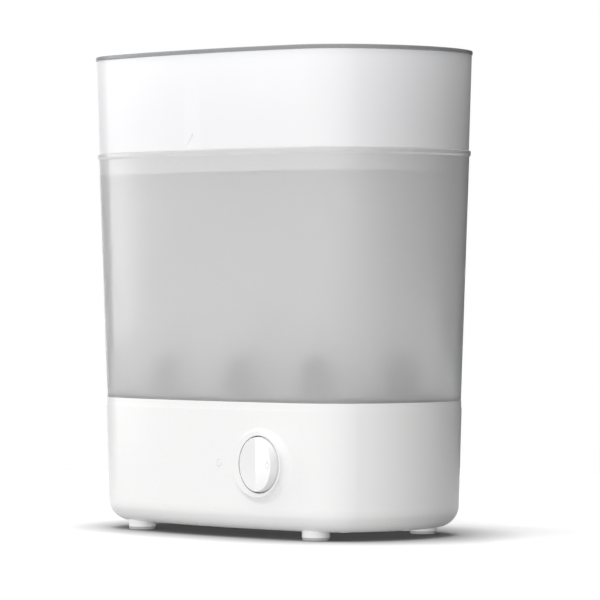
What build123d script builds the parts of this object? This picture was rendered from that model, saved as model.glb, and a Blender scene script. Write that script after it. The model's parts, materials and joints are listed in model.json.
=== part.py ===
from build123d import *
import math
import os

# Electric steam steriliser for baby bottles.
# A heated base stands on four feet. A large tub, a small tub and a lid stack on it, one inside the
# next, and each lifts straight off. Millimetres, +Z up, the front is -Y, the origin is on the floor
# under the middle of the object.

# ---------------------------------------------------------------------------------------------
# Driving dimensions
# ---------------------------------------------------------------------------------------------

# Plan outline at the lid's rim, the widest place: four bowed sides joined by round corners
OVERALL_WIDTH = 304.0
OVERALL_DEPTH = 184.0
FRONT_ARC_RADIUS = 600.0
SIDE_ARC_RADIUS = 115.0
CORNER_RADIUS = 55.0

# Heights of the stacked modules
PAD_THICKNESS = 2.0
FOOT_STUB_HEIGHT = 4.0
HOUSING_HEIGHT = 86.0
DECK_RIM_HEIGHT = 5.5
LARGE_BASKET_HEIGHT = 180.2
SMALL_BASKET_HEIGHT = 69.3
LID_RIM_THICKNESS = 3.0

# How far each surface stands inside the lid's rim, and the slope of each wall
HOUSING_TOP_INSET = 8.0
HOUSING_SLOPE = math.tan(math.radians(1.56))
DECK_RIM_INSET = 8.35
LARGE_BASKET_BOTTOM_INSET = 8.5
LARGE_BASKET_SLOPE = math.tan(math.radians(1.97))
BASKET_BEAD_PROUD = 0.95
BASKET_BEAD_HEIGHT = 3.0
SMALL_BASKET_TOP_INSET = 0.6
SMALL_BASKET_SLOPE = math.tan(math.radians(1.78))

# Wall thicknesses
HOUSING_WALL = 2.5
DECK_WALL = 2.0
LARGE_BASKET_WALL = 2.2
SMALL_BASKET_WALL = 2.0
LID_WALL = 2.0

# Clearances
STACK_CLEARANCE = 0.35
FIXED_CLEARANCE = 0.2
RUNNING_CLEARANCE = 0.05
SCREW_CLEARANCE = 0.15
SCREW_TIP_GAP = 0.3

# How far a cut runs past the face that it opens
OVERCUT = 1.0

# Base housing
HOUSING_BOTTOM_FILLET = 16.0
FOOT_INSET_X = 60.5
FOOT_INSET_Y = 37.0
FOOT_RADIUS = 10.0
PAD_PLUG_RADIUS = 6.5
PAD_PLUG_LENGTH = 2.0
PAD_EDGE_STEP = 0.3
PAD_EDGE_FILLET = 0.6
VENT_LENGTH = 34.0
VENT_WIDTH = 3.0
VENT_PITCH = 9.0
VENT_COUNT = 7

# Screws that pull the deck down on the housing
CORNER_BOSS_INSET_X = 42.0
CORNER_BOSS_INSET_Y = 46.0
SIDE_BOSS_INSET_X = 27.0
BOSS_RADIUS = 5.0
BOSS_JOINT_HEIGHT = 40.0
BOSS_WEB = 3.0
HOUSING_SCREW_RADIUS = 1.7
HOUSING_SCREW_HEAD_RADIUS = 3.4
HOUSING_SCREW_HEAD_HEIGHT = 2.4
HOUSING_SCREW_LENGTH = 18.0
HOUSING_SCREW_PLAY = 0.3
SCREW_CROSS_HALF_WIDTH = 0.35

# Base deck: the rim, the ledge that the large basket stands on, and the steam basin
DECK_RIM_WALL = 2.2
LEDGE_INNER_INSET = 16.0
LEDGE_THICKNESS = 2.0
DECK_SKIRT_DEPTH = 8.0
BASIN_DEPTH = 12.0
BASIN_FLOOR_FILLET = 4.0
BASIN_OPENING_RADIUS = 53.0
DECK_BOSS_STEP = 0.4

# Heating plate stack, from the basin floor down
SEAL_SEAT_WIDTH = 7.0
DISH_GAP = 1.5
PLATE_THICKNESS = 0.8
PLATE_DISH_DEPTH = 7.6
PLATE_CORNER = 2.4
SEAL_THICKNESS = 1.4
SEAL_LIP_HEIGHT = 2.4
SEAL_LIP_WALL = 1.5
SPREADER_INSET = 6.0
SPREADER_THICKNESS = 4.0
ELEMENT_LOOP_INSET = 10.0
ELEMENT_TUBE_RADIUS = 3.25
ELEMENT_GROOVE_DEPTH = 1.6
ELEMENT_GAP_DEG = 60.0
ELEMENT_LEG = 12.0
ELEMENT_PIN_RADIUS = 1.5
ELEMENT_PIN_LENGTH = 6.5

# Clamp ring under the heating plate
CLAMP_SHEET = 1.2
CLAMP_LAND = 8.0
CLAMP_STEP = 3.8
CLAMP_RIM_GAP = 1.0
CLAMP_EAR_RADIUS = 5.0
CLAMP_SCREW_OUTSET = 6.5
CLAMP_SCREW_COUNT = 4
CLAMP_BOSS_RADIUS = 4.0
CLAMP_SCREW_RADIUS = 1.45
CLAMP_SCREW_HEAD_RADIUS = 2.8
CLAMP_SCREW_HEAD_HEIGHT = 2.0

# Thermostat, its strap, and the thermal fuse
THERMOSTAT_BODY_RADIUS = 8.0
THERMOSTAT_CAP_RADIUS = 9.5
THERMOSTAT_CAP_HEIGHT = 4.2
THERMOSTAT_BODY_HEIGHT = 8.0
BLADE_X = 4.5
BLADE_THICKNESS = 0.8
BLADE_WIDTH = 6.3
BLADE_LENGTH = 8.0
STRAP_HALF_SPAN = 24.0
STRAP_HALF_WIDTH = 11.0
STRAP_WEB_X = 14.0
STRAP_SHEET = 1.2
STRAP_COLLAR_GAP = 0.1
STRAP_SCREW_X = 19.0
STRAP_SCREW_RADIUS = 1.45
STRAP_SCREW_HEAD_RADIUS = 2.6
STRAP_SCREW_HEAD_HEIGHT = 1.9
STRAP_SCREW_LENGTH = 4.4
FUSE_RADIUS = 2.0
FUSE_LENGTH = 12.0
FUSE_LEAD_RADIUS = 0.5
FUSE_LEAD_LENGTH = 6.0
FUSE_Y = -18.0
FUSE_CLIP_WIDTH = 6.0
FUSE_CLIP_WALL = 1.6

# Round rocker key in a collar on the front wall. It tilts about an upright axis: the left half is
# pressed in at rest, and pressing the right half switches on.
ROCKER_X = 61.0
ROCKER_Z = 53.4
ROCKER_RADIUS = 19.7
ROCKER_GAP = 0.9
ROCKER_TILT_DEG = 8.4
ROCKER_VALLEY_DEG = 3.2
ROCKER_CREASE_PROUD = 1.8
ROCKER_CREASE_RADIUS = 25.0
ROCKER_EDGE = 0.7
ROCKER_SKIN = 2.0
ROCKER_SKIRT = 3.0
PIVOT_DEPTH = 4.0
PIVOT_PIN_RADIUS = 1.5
PIVOT_PIN_LENGTH = 2.2
PIVOT_END_PLAY = 0.3
COLLAR_LIP = 1.6
COLLAR_PROUD = 2.5
COLLAR_FLARE = 7.0
COLLAR_FLARE_SINK = 0.9
COLLAR_FLARE_OVERLAP = 0.2
WELL_FLOOR_GAP = 0.7
WELL_FLOOR_THICKNESS = 2.5

# Switch behind the well: the key's leg pushes a slider to and fro inside the switch body
LEG_REACH = 14.0
LEG_THICKNESS = 2.0
LEG_TIP_RADIUS = 1.5
LEG_WIDTH = 8.0
LEG_SLOT_CLEARANCE = 0.5
SLIDER_LENGTH = 8.0
SLIDER_WIDTH = 10.0
SLIDER_FRONT = 3.0
SLIDER_BACK = 2.8
SLIDER_SLACK = 0.15
SLIDER_END_PLAY = 0.3
SWITCH_WIDTH = 24.0
SWITCH_HEIGHT = 22.0
SWITCH_DEPTH = 15.0
SWITCH_CHAMFER = 1.5
SWITCH_EAR = 6.0
SWITCH_EAR_WIDTH = 10.0
SWITCH_EAR_THICKNESS = 2.0
SWITCH_SCREW_RADIUS = 1.2
SWITCH_SCREW_HEAD_RADIUS = 2.3
SWITCH_SCREW_HEAD_HEIGHT = 1.6
SWITCH_SCREW_LENGTH = 5.4
SWITCH_BOSS_RADIUS = 2.8
SWITCH_BOSS_HEIGHT = 1.5
SWITCH_TAB_LENGTH = 6.0
SWITCH_TAB_SPACING = 12.0
SWITCH_TAB_THICKNESS = 0.8
SWITCH_TAB_WIDTH = 4.8

# Indicator window and the control board behind it
INDICATOR_X = 20.5
INDICATOR_Z = 53.3
INDICATOR_RADIUS = 2.4
INDICATOR_PROUD = 0.3
INDICATOR_CLEARANCE = 0.1
INDICATOR_EDGE = 0.5
INDICATOR_FLANGE_GAP = 0.35
GUIDE_STEP = 0.2
INDICATOR_FLANGE_RADIUS = 3.6
INDICATOR_FLANGE = 1.2
GUIDE_LENGTH = 9.0
BOARD_LEFT_REACH = 14.0
BOARD_COLLAR_GAP = 1.0
BOARD_DOWN_REACH = 22.0
BOARD_UP_REACH = 14.0
BOARD_THICKNESS = 1.6
BOARD_CORNER = 2.0
BOARD_STAND_OFF = 14.5
BOARD_SCREW_INSET = 4.5
BOARD_POST_RADIUS = 3.2
BOARD_SCREW_RADIUS = 1.15
BOARD_SCREW_HEAD_RADIUS = 2.3
BOARD_SCREW_HEAD_HEIGHT = 1.6
BOARD_SCREW_LENGTH = 8.0
LED_RADIUS = 2.5
LED_HEIGHT = 5.0
LED_FLANGE = 1.0
LED_FLANGE_STEP = 0.4
RELAY_SIZE = (15.0, 15.5, 19.0)
RELAY_INSET = 1.5
RELAY_CORNER = 1.0
CAPACITOR_INSET = 1.5
CAPACITOR_RADIUS = 4.0
CAPACITOR_LENGTH = 12.0

# Mains side: gland in the back wall, terminal block, leads
GLAND_X = -60.0
GLAND_Z = 28.0
GLAND_PAD_RADIUS = 11.0
GLAND_PAD_PROUD = 1.6
GLAND_NECK_RADIUS = 6.0
GLAND_FLANGE_RADIUS = 8.5
GLAND_FLANGE = 2.4
GLAND_SLEEVE_LENGTH = 6.6
GLAND_BORE_RADIUS = 3.5
GLAND_SNAP = 1.2
GLAND_DRAFT = 0.6
GLAND_SLEEVE_STEP = 0.2
GLAND_SLEEVE_TIP_WALL = 1.3
TERMINAL_SIZE = (30.0, 18.0, 16.0)
TERMINAL_INSET_Y = 42.0
TERMINAL_COUNT = 3
TERMINAL_PITCH = 9.0
TERMINAL_SCREW_RADIUS = 2.4
TERMINAL_SCREW_HEIGHT = 1.4
TERMINAL_WELL_DEPTH = 5.0
TERMINAL_WELL_CLEARANCE = 0.4
TERMINAL_SLOT_WIDTH = 0.8
TERMINAL_SLOT_DEPTH = 0.7
LEAD_RADIUS = 1.2
LEAD_BEND = 7.0
LEAD_FLOOR_GAP = 9.0

# Large basket
BASKET_SPIGOT_DEPTH = 3.0
BASKET_SPIGOT_WALL = 2.0
BASKET_LEDGE_INSET = 17.0
BASKET_LEDGE_THICKNESS = 2.0

# Bottle rack
RACK_PLATE_THICKNESS = 2.5
RACK_WALL_GAP = 1.0
POST_SPACING_X = 78.0
POST_SPACING_Y = 86.0
POST_FOOT_RADIUS = 11.0
POST_TOP_RADIUS = 10.0
POST_HEIGHT = 28.0
POST_CROWN = 7.0
POST_WALL = 1.8
RACK_SLOT_WIDTH = 5.0
RACK_SLOT_LENGTH = 30.0
RACK_SLOT_PITCH = 12.0
RACK_SLOT_COLUMNS = 2
RACK_SLOT_ROWS = 5
RACK_POST_MARGIN = 15.0

# Small basket
SKIRT_DEPTH = 15.7
SMALL_FLOOR_THICKNESS = 2.0
SHOULDER_THICKNESS = 2.3
FLOOR_SLOT_WIDTH = 4.5
FLOOR_SLOT_LENGTH = 26.0
FLOOR_SLOT_PITCH = 11.0
FLOOR_SLOT_BRIDGE = 9.0
FLOOR_SLOT_MARGIN = 9.0
LOWER_HOLLOW_FILLET = 3.0
ARROW_WIDTH = 15.0
ARROW_HEIGHT = 10.0
ARROW_DEPTH = 0.3
ARROW_ABOVE_SHOULDER = 2.0

# Item plate
ITEM_PLATE_THICKNESS = 2.0
ITEM_HOLE_RADIUS = 3.0
ITEM_HOLE_PITCH = 15.0
ITEM_PLATE_MARGIN = 16.0
FINGER_HOLE_LENGTH = 34.0
FINGER_HOLE_WIDTH = 16.0
FINGER_HOLE_MARGIN = 6.0

# Lid
LID_DISH_DEPTH = 14.0
LID_DISH_SLOPE = math.tan(math.radians(8.0))
LID_DISH_FILLET = 7.0
GRIP_LENGTH = 92.0
GRIP_WIDTH = 16.0
GRIP_CORNER = 7.0
GRIP_TOP_FILLET = 3.0
LID_VENT_LENGTH = 16.0
LID_VENT_WIDTH = 3.0
LID_VENT_PITCH = 8.0
LID_VENT_COUNT = 3
LID_VENT_GRIP_GAP = 22.0

# ---------------------------------------------------------------------------------------------
# Heights worked out from the stack
# ---------------------------------------------------------------------------------------------

STUB_BOTTOM = PAD_THICKNESS
HOUSING_BOTTOM = STUB_BOTTOM + FOOT_STUB_HEIGHT
HOUSING_FLOOR = HOUSING_BOTTOM + HOUSING_WALL
HOUSING_TOP = HOUSING_BOTTOM + HOUSING_HEIGHT
DECK_TOP = HOUSING_TOP + DECK_RIM_HEIGHT
LEDGE_TOP = HOUSING_TOP + LEDGE_THICKNESS
BASIN_FLOOR = LEDGE_TOP - BASIN_DEPTH
BASIN_UNDERSIDE = BASIN_FLOOR - DECK_WALL
LARGE_TOP = DECK_TOP + LARGE_BASKET_HEIGHT
SMALL_TOP = LARGE_TOP + SMALL_BASKET_HEIGHT
OVERALL_HEIGHT = SMALL_TOP + LID_RIM_THICKNESS

PLATE_DISH_RADIUS = BASIN_OPENING_RADIUS - SEAL_LIP_WALL - DISH_GAP
PLATE_FLANGE_RADIUS = BASIN_OPENING_RADIUS + SEAL_SEAT_WIDTH
CLAMP_INNER_RADIUS = PLATE_FLANGE_RADIUS - CLAMP_LAND
CLAMP_SCREW_CIRCLE_RADIUS = PLATE_FLANGE_RADIUS + CLAMP_SCREW_OUTSET
SPREADER_RADIUS = PLATE_DISH_RADIUS - SPREADER_INSET
ELEMENT_LOOP_RADIUS = SPREADER_RADIUS - ELEMENT_LOOP_INSET

FLANGE_TOP = BASIN_UNDERSIDE - SEAL_THICKNESS
FLANGE_UNDERSIDE = FLANGE_TOP - PLATE_THICKNESS
DISH_UNDERSIDE = FLANGE_TOP - PLATE_DISH_DEPTH - PLATE_THICKNESS
SPREADER_UNDERSIDE = DISH_UNDERSIDE - SPREADER_THICKNESS
ELEMENT_Z = SPREADER_UNDERSIDE + ELEMENT_GROOVE_DEPTH - ELEMENT_TUBE_RADIUS
PIN_BOTTOM = ELEMENT_Z - ELEMENT_LEG - ELEMENT_PIN_LENGTH

# ---------------------------------------------------------------------------------------------
# Plan outline and the blocks made from it
# ---------------------------------------------------------------------------------------------

FRONT_CENTRE_Y = FRONT_ARC_RADIUS - OVERALL_DEPTH / 2
SIDE_CENTRE_X = OVERALL_WIDTH / 2 - SIDE_ARC_RADIUS


def corner_centre():
    """Centre of the front right corner arc, which touches the front arc and the side arc."""
    to_front = FRONT_ARC_RADIUS - CORNER_RADIUS
    to_side = SIDE_ARC_RADIUS - CORNER_RADIUS
    span = math.hypot(SIDE_CENTRE_X, FRONT_CENTRE_Y)
    along = (to_front**2 - to_side**2 + span**2) / (2 * span)
    across = math.sqrt(to_front**2 - along**2)
    unit_x = SIDE_CENTRE_X / span
    unit_y = -FRONT_CENTRE_Y / span
    x = along * unit_x - across * unit_y
    y = FRONT_CENTRE_Y + along * unit_y + across * unit_x
    return x, y


CORNER_X, CORNER_Y = corner_centre()
FRONT_JOIN_ANGLE = math.atan2(CORNER_Y - FRONT_CENTRE_Y, CORNER_X)
SIDE_JOIN_ANGLE = math.atan2(CORNER_Y, CORNER_X - SIDE_CENTRE_X)


def outline(inset, z=0.0):
    """Face inside the plan outline, parallel to the lid's rim at an inset, at height z."""
    front = FRONT_ARC_RADIUS - inset
    side = SIDE_ARC_RADIUS - inset
    corner = CORNER_RADIUS - inset
    middle = (FRONT_JOIN_ANGLE + SIDE_JOIN_ANGLE) / 2
    front_join = (front * math.cos(FRONT_JOIN_ANGLE), FRONT_CENTRE_Y + front * math.sin(FRONT_JOIN_ANGLE))
    corner_mid = (CORNER_X + corner * math.cos(middle), CORNER_Y + corner * math.sin(middle))
    side_join = (SIDE_CENTRE_X + side * math.cos(SIDE_JOIN_ANGLE), side * math.sin(SIDE_JOIN_ANGLE))
    half_width = OVERALL_WIDTH / 2 - inset
    half_depth = OVERALL_DEPTH / 2 - inset

    def flipped(point, x_sign, y_sign):
        return (point[0] * x_sign, point[1] * y_sign)

    arcs = []
    for y_sign in (1, -1):
        left = flipped(front_join, -1, y_sign)
        right = flipped(front_join, 1, y_sign)
        arcs.append(ThreePointArc(left, (0, -half_depth * y_sign), right))
        for x_sign in (1, -1):
            start = flipped(front_join, x_sign, y_sign)
            through = flipped(corner_mid, x_sign, y_sign)
            end = flipped(side_join, x_sign, y_sign)
            arcs.append(ThreePointArc(start, through, end))
    for x_sign in (1, -1):
        lower = flipped(side_join, x_sign, 1)
        upper = flipped(side_join, x_sign, -1)
        arcs.append(ThreePointArc(lower, (half_width * x_sign, 0), upper))
    return Pos(0, 0, z) * make_face(arcs)


def straight_block(z_low, z_high, inset):
    """Block with upright walls on the plan outline."""
    return extrude(outline(inset, z_low), amount=z_high - z_low)


def sloped_block(z_low, z_high, inset_low, slope):
    """Block on the plan outline whose walls lean outwards by slope millimetres per millimetre."""
    return extrude(outline(inset_low, z_low), amount=z_high - z_low, taper=-math.degrees(math.atan(slope)))


def rounded_bottom(block, radius):
    """Block with the edges of its lowest face rounded."""
    return fillet(block.faces().sort_by(Axis.Z)[0].edges(), radius)


def post(x, y, z_low, z_high, radius):
    """Upright cylinder between two heights."""
    return Pos(x, y, (z_low + z_high) / 2) * Cylinder(radius, z_high - z_low)


def rod(x, z, y_front, y_back, radius):
    """Cylinder along Y between two places."""
    return Pos(x, (y_front + y_back) / 2, z) * Rot(90, 0, 0) * Cylinder(radius, y_back - y_front)


def block(x, y, z):
    """Box given by its lowest and highest X, Y and Z."""
    centre = Pos((x[0] + x[1]) / 2, (y[0] + y[1]) / 2, (z[0] + z[1]) / 2)
    return centre * Box(x[1] - x[0], y[1] - y[0], z[1] - z[0])


def turned(points):
    """Solid of revolution about Z from (radius, height) points."""
    profile = make_face(Polyline(*points, close=True))
    return revolve(Plane.XZ * profile, Axis.Z)


def turned_about_y(points, x, z):
    """Solid of revolution about an axis along Y, from (radius, y) points."""
    profile = make_face(Polyline(*points, close=True))
    return Pos(x, 0, z) * revolve(profile, Axis.Y)


def save(node, shape):
    """Write one node's STEP file."""
    shape.label = node
    export_step(shape, f"parts/{node}.step")


def group(shapes):
    """Several separate solids as one node."""
    return Compound(children=list(shapes))


# ---------------------------------------------------------------------------------------------
# Base housing
# ---------------------------------------------------------------------------------------------


def housing_inset(z):
    """Inset of the housing's outer wall at height z."""
    return HOUSING_TOP_INSET + (HOUSING_TOP - z) * HOUSING_SLOPE


def housing_front_y(x, z):
    """Y of the housing's outer front surface."""
    radius = FRONT_ARC_RADIUS - housing_inset(z)
    return FRONT_CENTRE_Y - math.sqrt(radius**2 - x**2)


FEET = [
    (x_sign * (OVERALL_WIDTH / 2 - FOOT_INSET_X), y_sign * (OVERALL_DEPTH / 2 - FOOT_INSET_Y))
    for x_sign in (-1, 1)
    for y_sign in (-1, 1)
]
BOSSES = [
    (x_sign * (OVERALL_WIDTH / 2 - CORNER_BOSS_INSET_X), y_sign * (OVERALL_DEPTH / 2 - CORNER_BOSS_INSET_Y))
    for x_sign in (-1, 1)
    for y_sign in (-1, 1)
]
BOSSES += [(x_sign * (OVERALL_WIDTH / 2 - SIDE_BOSS_INSET_X), 0.0) for x_sign in (-1, 1)]

COLLAR_FACE_Y = housing_front_y(ROCKER_X, ROCKER_Z) - COLLAR_PROUD
PIVOT_Y = COLLAR_FACE_Y + PIVOT_DEPTH
WELL_RADIUS = ROCKER_RADIUS + ROCKER_GAP
COLLAR_RADIUS = WELL_RADIUS + COLLAR_LIP
ROCKER_BALL_RADIUS = math.hypot(ROCKER_RADIUS, PIVOT_DEPTH)
ROCKER_TILT = math.radians(ROCKER_TILT_DEG)
SKIRT_SWING = ROCKER_SKIRT * math.cos(ROCKER_TILT) + ROCKER_BALL_RADIUS * math.sin(ROCKER_TILT)
WELL_FLOOR_Y = PIVOT_Y + SKIRT_SWING + WELL_FLOOR_GAP
WELL_BACK_Y = WELL_FLOOR_Y + WELL_FLOOR_THICKNESS
SWITCH_SCREW_ZS = [ROCKER_Z + side * (SWITCH_HEIGHT + SWITCH_EAR) / 2 for side in (-1, 1)]

INDICATOR_FACE_Y = housing_front_y(INDICATOR_X, INDICATOR_Z) - INDICATOR_PROUD
WALL_INNER_Y = housing_front_y(INDICATOR_X, INDICATOR_Z) + HOUSING_WALL
BOARD_FRONT_Y = housing_front_y(INDICATOR_X, INDICATOR_Z) + BOARD_STAND_OFF
BOARD_BACK_Y = BOARD_FRONT_Y + BOARD_THICKNESS
BOARD_X = (INDICATOR_X - BOARD_LEFT_REACH, ROCKER_X - COLLAR_RADIUS - BOARD_COLLAR_GAP)
BOARD_Z = (INDICATOR_Z - BOARD_DOWN_REACH, INDICATOR_Z + BOARD_UP_REACH)
BOARD_SCREWS = [
    (BOARD_X[0] + BOARD_SCREW_INSET, BOARD_Z[0] + BOARD_SCREW_INSET),
    (BOARD_X[1] - BOARD_SCREW_INSET, BOARD_Z[1] - BOARD_SCREW_INSET),
]

GLAND_PAD_Y = -housing_front_y(GLAND_X, GLAND_Z) + GLAND_PAD_PROUD
GLAND_WALL_INNER_Y = GLAND_PAD_Y - GLAND_PAD_PROUD - HOUSING_WALL - GLAND_PAD_PROUD


def rocker_flare():
    """Ring round the rocker key whose hollow flank runs out on the curved front wall."""
    wall_y = housing_front_y(ROCKER_X, ROCKER_Z)
    turn = math.asin(ROCKER_X / (FRONT_ARC_RADIUS - housing_inset(ROCKER_Z)))
    height = COLLAR_PROUD + (COLLAR_RADIUS + COLLAR_LIP) * math.tan(turn)
    foot = (COLLAR_RADIUS + COLLAR_FLARE, COLLAR_FLARE_SINK)
    waist = (COLLAR_RADIUS + COLLAR_FLARE * 0.45, -height * 0.17)
    brow = (COLLAR_RADIUS - COLLAR_FLARE_OVERLAP, -height)
    flank = Spline([foot, waist, brow], tangents=[(-1, -0.12), (-0.25, -1)])
    hidden_y = HOUSING_WALL - COLLAR_FLARE_SINK
    sides = Polyline(brow, (0, -height), (0, hidden_y), (foot[0], hidden_y), foot)
    ring = revolve(make_face(flank + sides), Axis.Y)
    ring = Pos(ROCKER_X, wall_y, ROCKER_Z) * Rot(0, 0, math.degrees(turn)) * ring
    behind_face = block(
        (ROCKER_X - 2 * COLLAR_RADIUS, ROCKER_X + 2 * COLLAR_RADIUS),
        (COLLAR_FACE_Y, 0),
        (ROCKER_Z - 2 * COLLAR_RADIUS, ROCKER_Z + 2 * COLLAR_RADIUS),
    )
    return ring & behind_face


def rocker_well():
    """What is cut out of the collar: the well, the pivot holes and the slot for the key's leg."""
    well = rod(ROCKER_X, ROCKER_Z, COLLAR_FACE_Y - OVERCUT, WELL_FLOOR_Y, WELL_RADIUS)
    boss_front = WELL_FLOOR_Y - SWITCH_BOSS_HEIGHT
    well -= [rod(ROCKER_X, z, boss_front, WELL_FLOOR_Y, SWITCH_BOSS_RADIUS) for z in SWITCH_SCREW_ZS]
    reach = ROCKER_BALL_RADIUS + PIVOT_PIN_LENGTH + PIVOT_END_PLAY
    pin_radius = PIVOT_PIN_RADIUS + RUNNING_CLEARANCE
    pivot_holes = post(ROCKER_X, PIVOT_Y, ROCKER_Z - reach, ROCKER_Z + reach, pin_radius)
    swing = (WELL_BACK_Y - PIVOT_Y) * math.tan(ROCKER_TILT) + LEG_THICKNESS / 2 + LEG_SLOT_CLEARANCE
    slot_half = LEG_WIDTH / 2 + LEG_SLOT_CLEARANCE
    slot = block(
        (ROCKER_X - swing, ROCKER_X + swing),
        (WELL_FLOOR_Y - OVERCUT, WELL_BACK_Y + OVERCUT),
        (ROCKER_Z - slot_half, ROCKER_Z + slot_half),
    )
    pilot_front = WELL_BACK_Y - (SWITCH_SCREW_LENGTH - SWITCH_EAR_THICKNESS) - SCREW_TIP_GAP
    pilot_radius = SWITCH_SCREW_RADIUS + RUNNING_CLEARANCE
    pilot_back = WELL_BACK_Y + OVERCUT
    pilots = [rod(ROCKER_X, z, pilot_front, pilot_back, pilot_radius) for z in SWITCH_SCREW_ZS]
    return [well, pivot_holes, slot] + pilots


def base_housing():
    outer = sloped_block(HOUSING_BOTTOM, HOUSING_TOP, housing_inset(HOUSING_BOTTOM), HOUSING_SLOPE)
    outer = rounded_bottom(outer, HOUSING_BOTTOM_FILLET)
    inner_inset = housing_inset(HOUSING_FLOOR) + HOUSING_WALL
    inner = sloped_block(HOUSING_FLOOR, HOUSING_TOP, inner_inset, HOUSING_SLOPE)
    inner = rounded_bottom(inner, HOUSING_BOTTOM_FILLET - HOUSING_WALL)
    shell = outer - inner

    stubs = [post(x, y, STUB_BOTTOM, HOUSING_FLOOR, FOOT_RADIUS) for x, y in FEET]
    screw_posts = [post(x, y, HOUSING_BOTTOM, BOSS_JOINT_HEIGHT, BOSS_RADIUS) for x, y in BOSSES]
    board_posts = []
    for x, z in BOARD_SCREWS:
        start = housing_front_y(x, z) + HOUSING_WALL / 2
        board_posts.append(rod(x, z, start, BOARD_FRONT_Y, BOARD_POST_RADIUS))
    gland_pad = rod(GLAND_X, GLAND_Z, GLAND_WALL_INNER_Y, GLAND_PAD_Y, GLAND_PAD_RADIUS)
    well_tube = rod(ROCKER_X, ROCKER_Z, COLLAR_FACE_Y, WELL_BACK_Y, COLLAR_RADIUS)
    shell = shell + rocker_flare() + stubs + screw_posts + board_posts + [gland_pad, well_tube]

    cuts = rocker_well()
    for x, y in FEET:
        cuts.append(post(x, y, STUB_BOTTOM - OVERCUT, STUB_BOTTOM + PAD_PLUG_LENGTH, PAD_PLUG_RADIUS))
    counterbore_top = BOSS_JOINT_HEIGHT - BOSS_WEB
    head_radius = HOUSING_SCREW_HEAD_RADIUS + HOUSING_SCREW_PLAY
    shank_radius = HOUSING_SCREW_RADIUS + HOUSING_SCREW_PLAY
    for x, y in BOSSES:
        cuts.append(post(x, y, HOUSING_BOTTOM - OVERCUT, counterbore_top, head_radius))
        cuts.append(post(x, y, 0, BOSS_JOINT_HEIGHT + OVERCUT, shank_radius))
    pilot_start = BOARD_FRONT_Y - BOARD_SCREW_LENGTH
    pilot_radius = BOARD_SCREW_RADIUS + RUNNING_CLEARANCE
    for x, z in BOARD_SCREWS:
        cuts.append(rod(x, z, pilot_start, BOARD_FRONT_Y + OVERCUT, pilot_radius))
    window_radius = INDICATOR_RADIUS + INDICATOR_CLEARANCE
    window_front = INDICATOR_FACE_Y - OVERCUT
    cuts.append(rod(INDICATOR_X, INDICATOR_Z, window_front, WALL_INNER_Y + OVERCUT, window_radius))
    neck_radius = GLAND_NECK_RADIUS + RUNNING_CLEARANCE
    neck_inner = GLAND_WALL_INNER_Y - OVERCUT
    cuts.append(rod(GLAND_X, GLAND_Z, neck_inner, GLAND_PAD_Y + OVERCUT, neck_radius))
    for index in range(VENT_COUNT):
        x = (index - (VENT_COUNT - 1) / 2) * VENT_PITCH
        slot = Pos(x, 0, HOUSING_BOTTOM - OVERCUT) * SlotOverall(VENT_LENGTH, VENT_WIDTH, rotation=90)
        cuts.append(extrude(slot, amount=HOUSING_WALL + 2 * OVERCUT))
    return shell - cuts


def foot_pads():
    """Rubber discs, each with a plug pressed into its stub."""
    pads = []
    for x, y in FEET:
        plug_radius = PAD_PLUG_RADIUS - RUNNING_CLEARANCE
        disc = post(x, y, 0, PAD_THICKNESS, FOOT_RADIUS - PAD_EDGE_STEP)
        disc = fillet(disc.edges().sort_by(Axis.Z)[0], PAD_EDGE_FILLET)
        pads.append(disc + post(x, y, PAD_THICKNESS, PAD_THICKNESS + PAD_PLUG_LENGTH, plug_radius))
    return group(pads)


def screw(z_head_top, head_radius, head_height, shank_radius, length):
    """Pan head screw on the Z axis that points up, its head's clamping face at z_head_top."""
    head = post(0, 0, z_head_top - head_height, z_head_top, head_radius)
    head = fillet(head.edges().sort_by(Axis.Z)[0], head_height * 0.4)
    arm = head_radius * 0.6
    arm_width = (-SCREW_CROSS_HALF_WIDTH, SCREW_CROSS_HALF_WIDTH)
    arms = block((-arm, arm), arm_width, (0, head_height * 0.45))
    cross = Pos(0, 0, z_head_top - head_height) * (arms + Rot(0, 0, 90) * arms)
    return head + post(0, 0, z_head_top, z_head_top + length, shank_radius) - cross


def housing_screws():
    one = screw(
        BOSS_JOINT_HEIGHT - BOSS_WEB,
        HOUSING_SCREW_HEAD_RADIUS,
        HOUSING_SCREW_HEAD_HEIGHT,
        HOUSING_SCREW_RADIUS,
        HOUSING_SCREW_LENGTH,
    )
    return group(Pos(x, y, 0) * one for x, y in BOSSES)


# ---------------------------------------------------------------------------------------------
# Base deck
# ---------------------------------------------------------------------------------------------


def clamp_screw_places():
    places = []
    for index in range(CLAMP_SCREW_COUNT):
        angle = math.radians(45 + index * 360 / CLAMP_SCREW_COUNT)
        x = CLAMP_SCREW_CIRCLE_RADIUS * math.cos(angle)
        y = CLAMP_SCREW_CIRCLE_RADIUS * math.sin(angle)
        places.append((x, y))
    return places


EAR_TOP = FLANGE_UNDERSIDE - CLAMP_STEP


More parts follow.
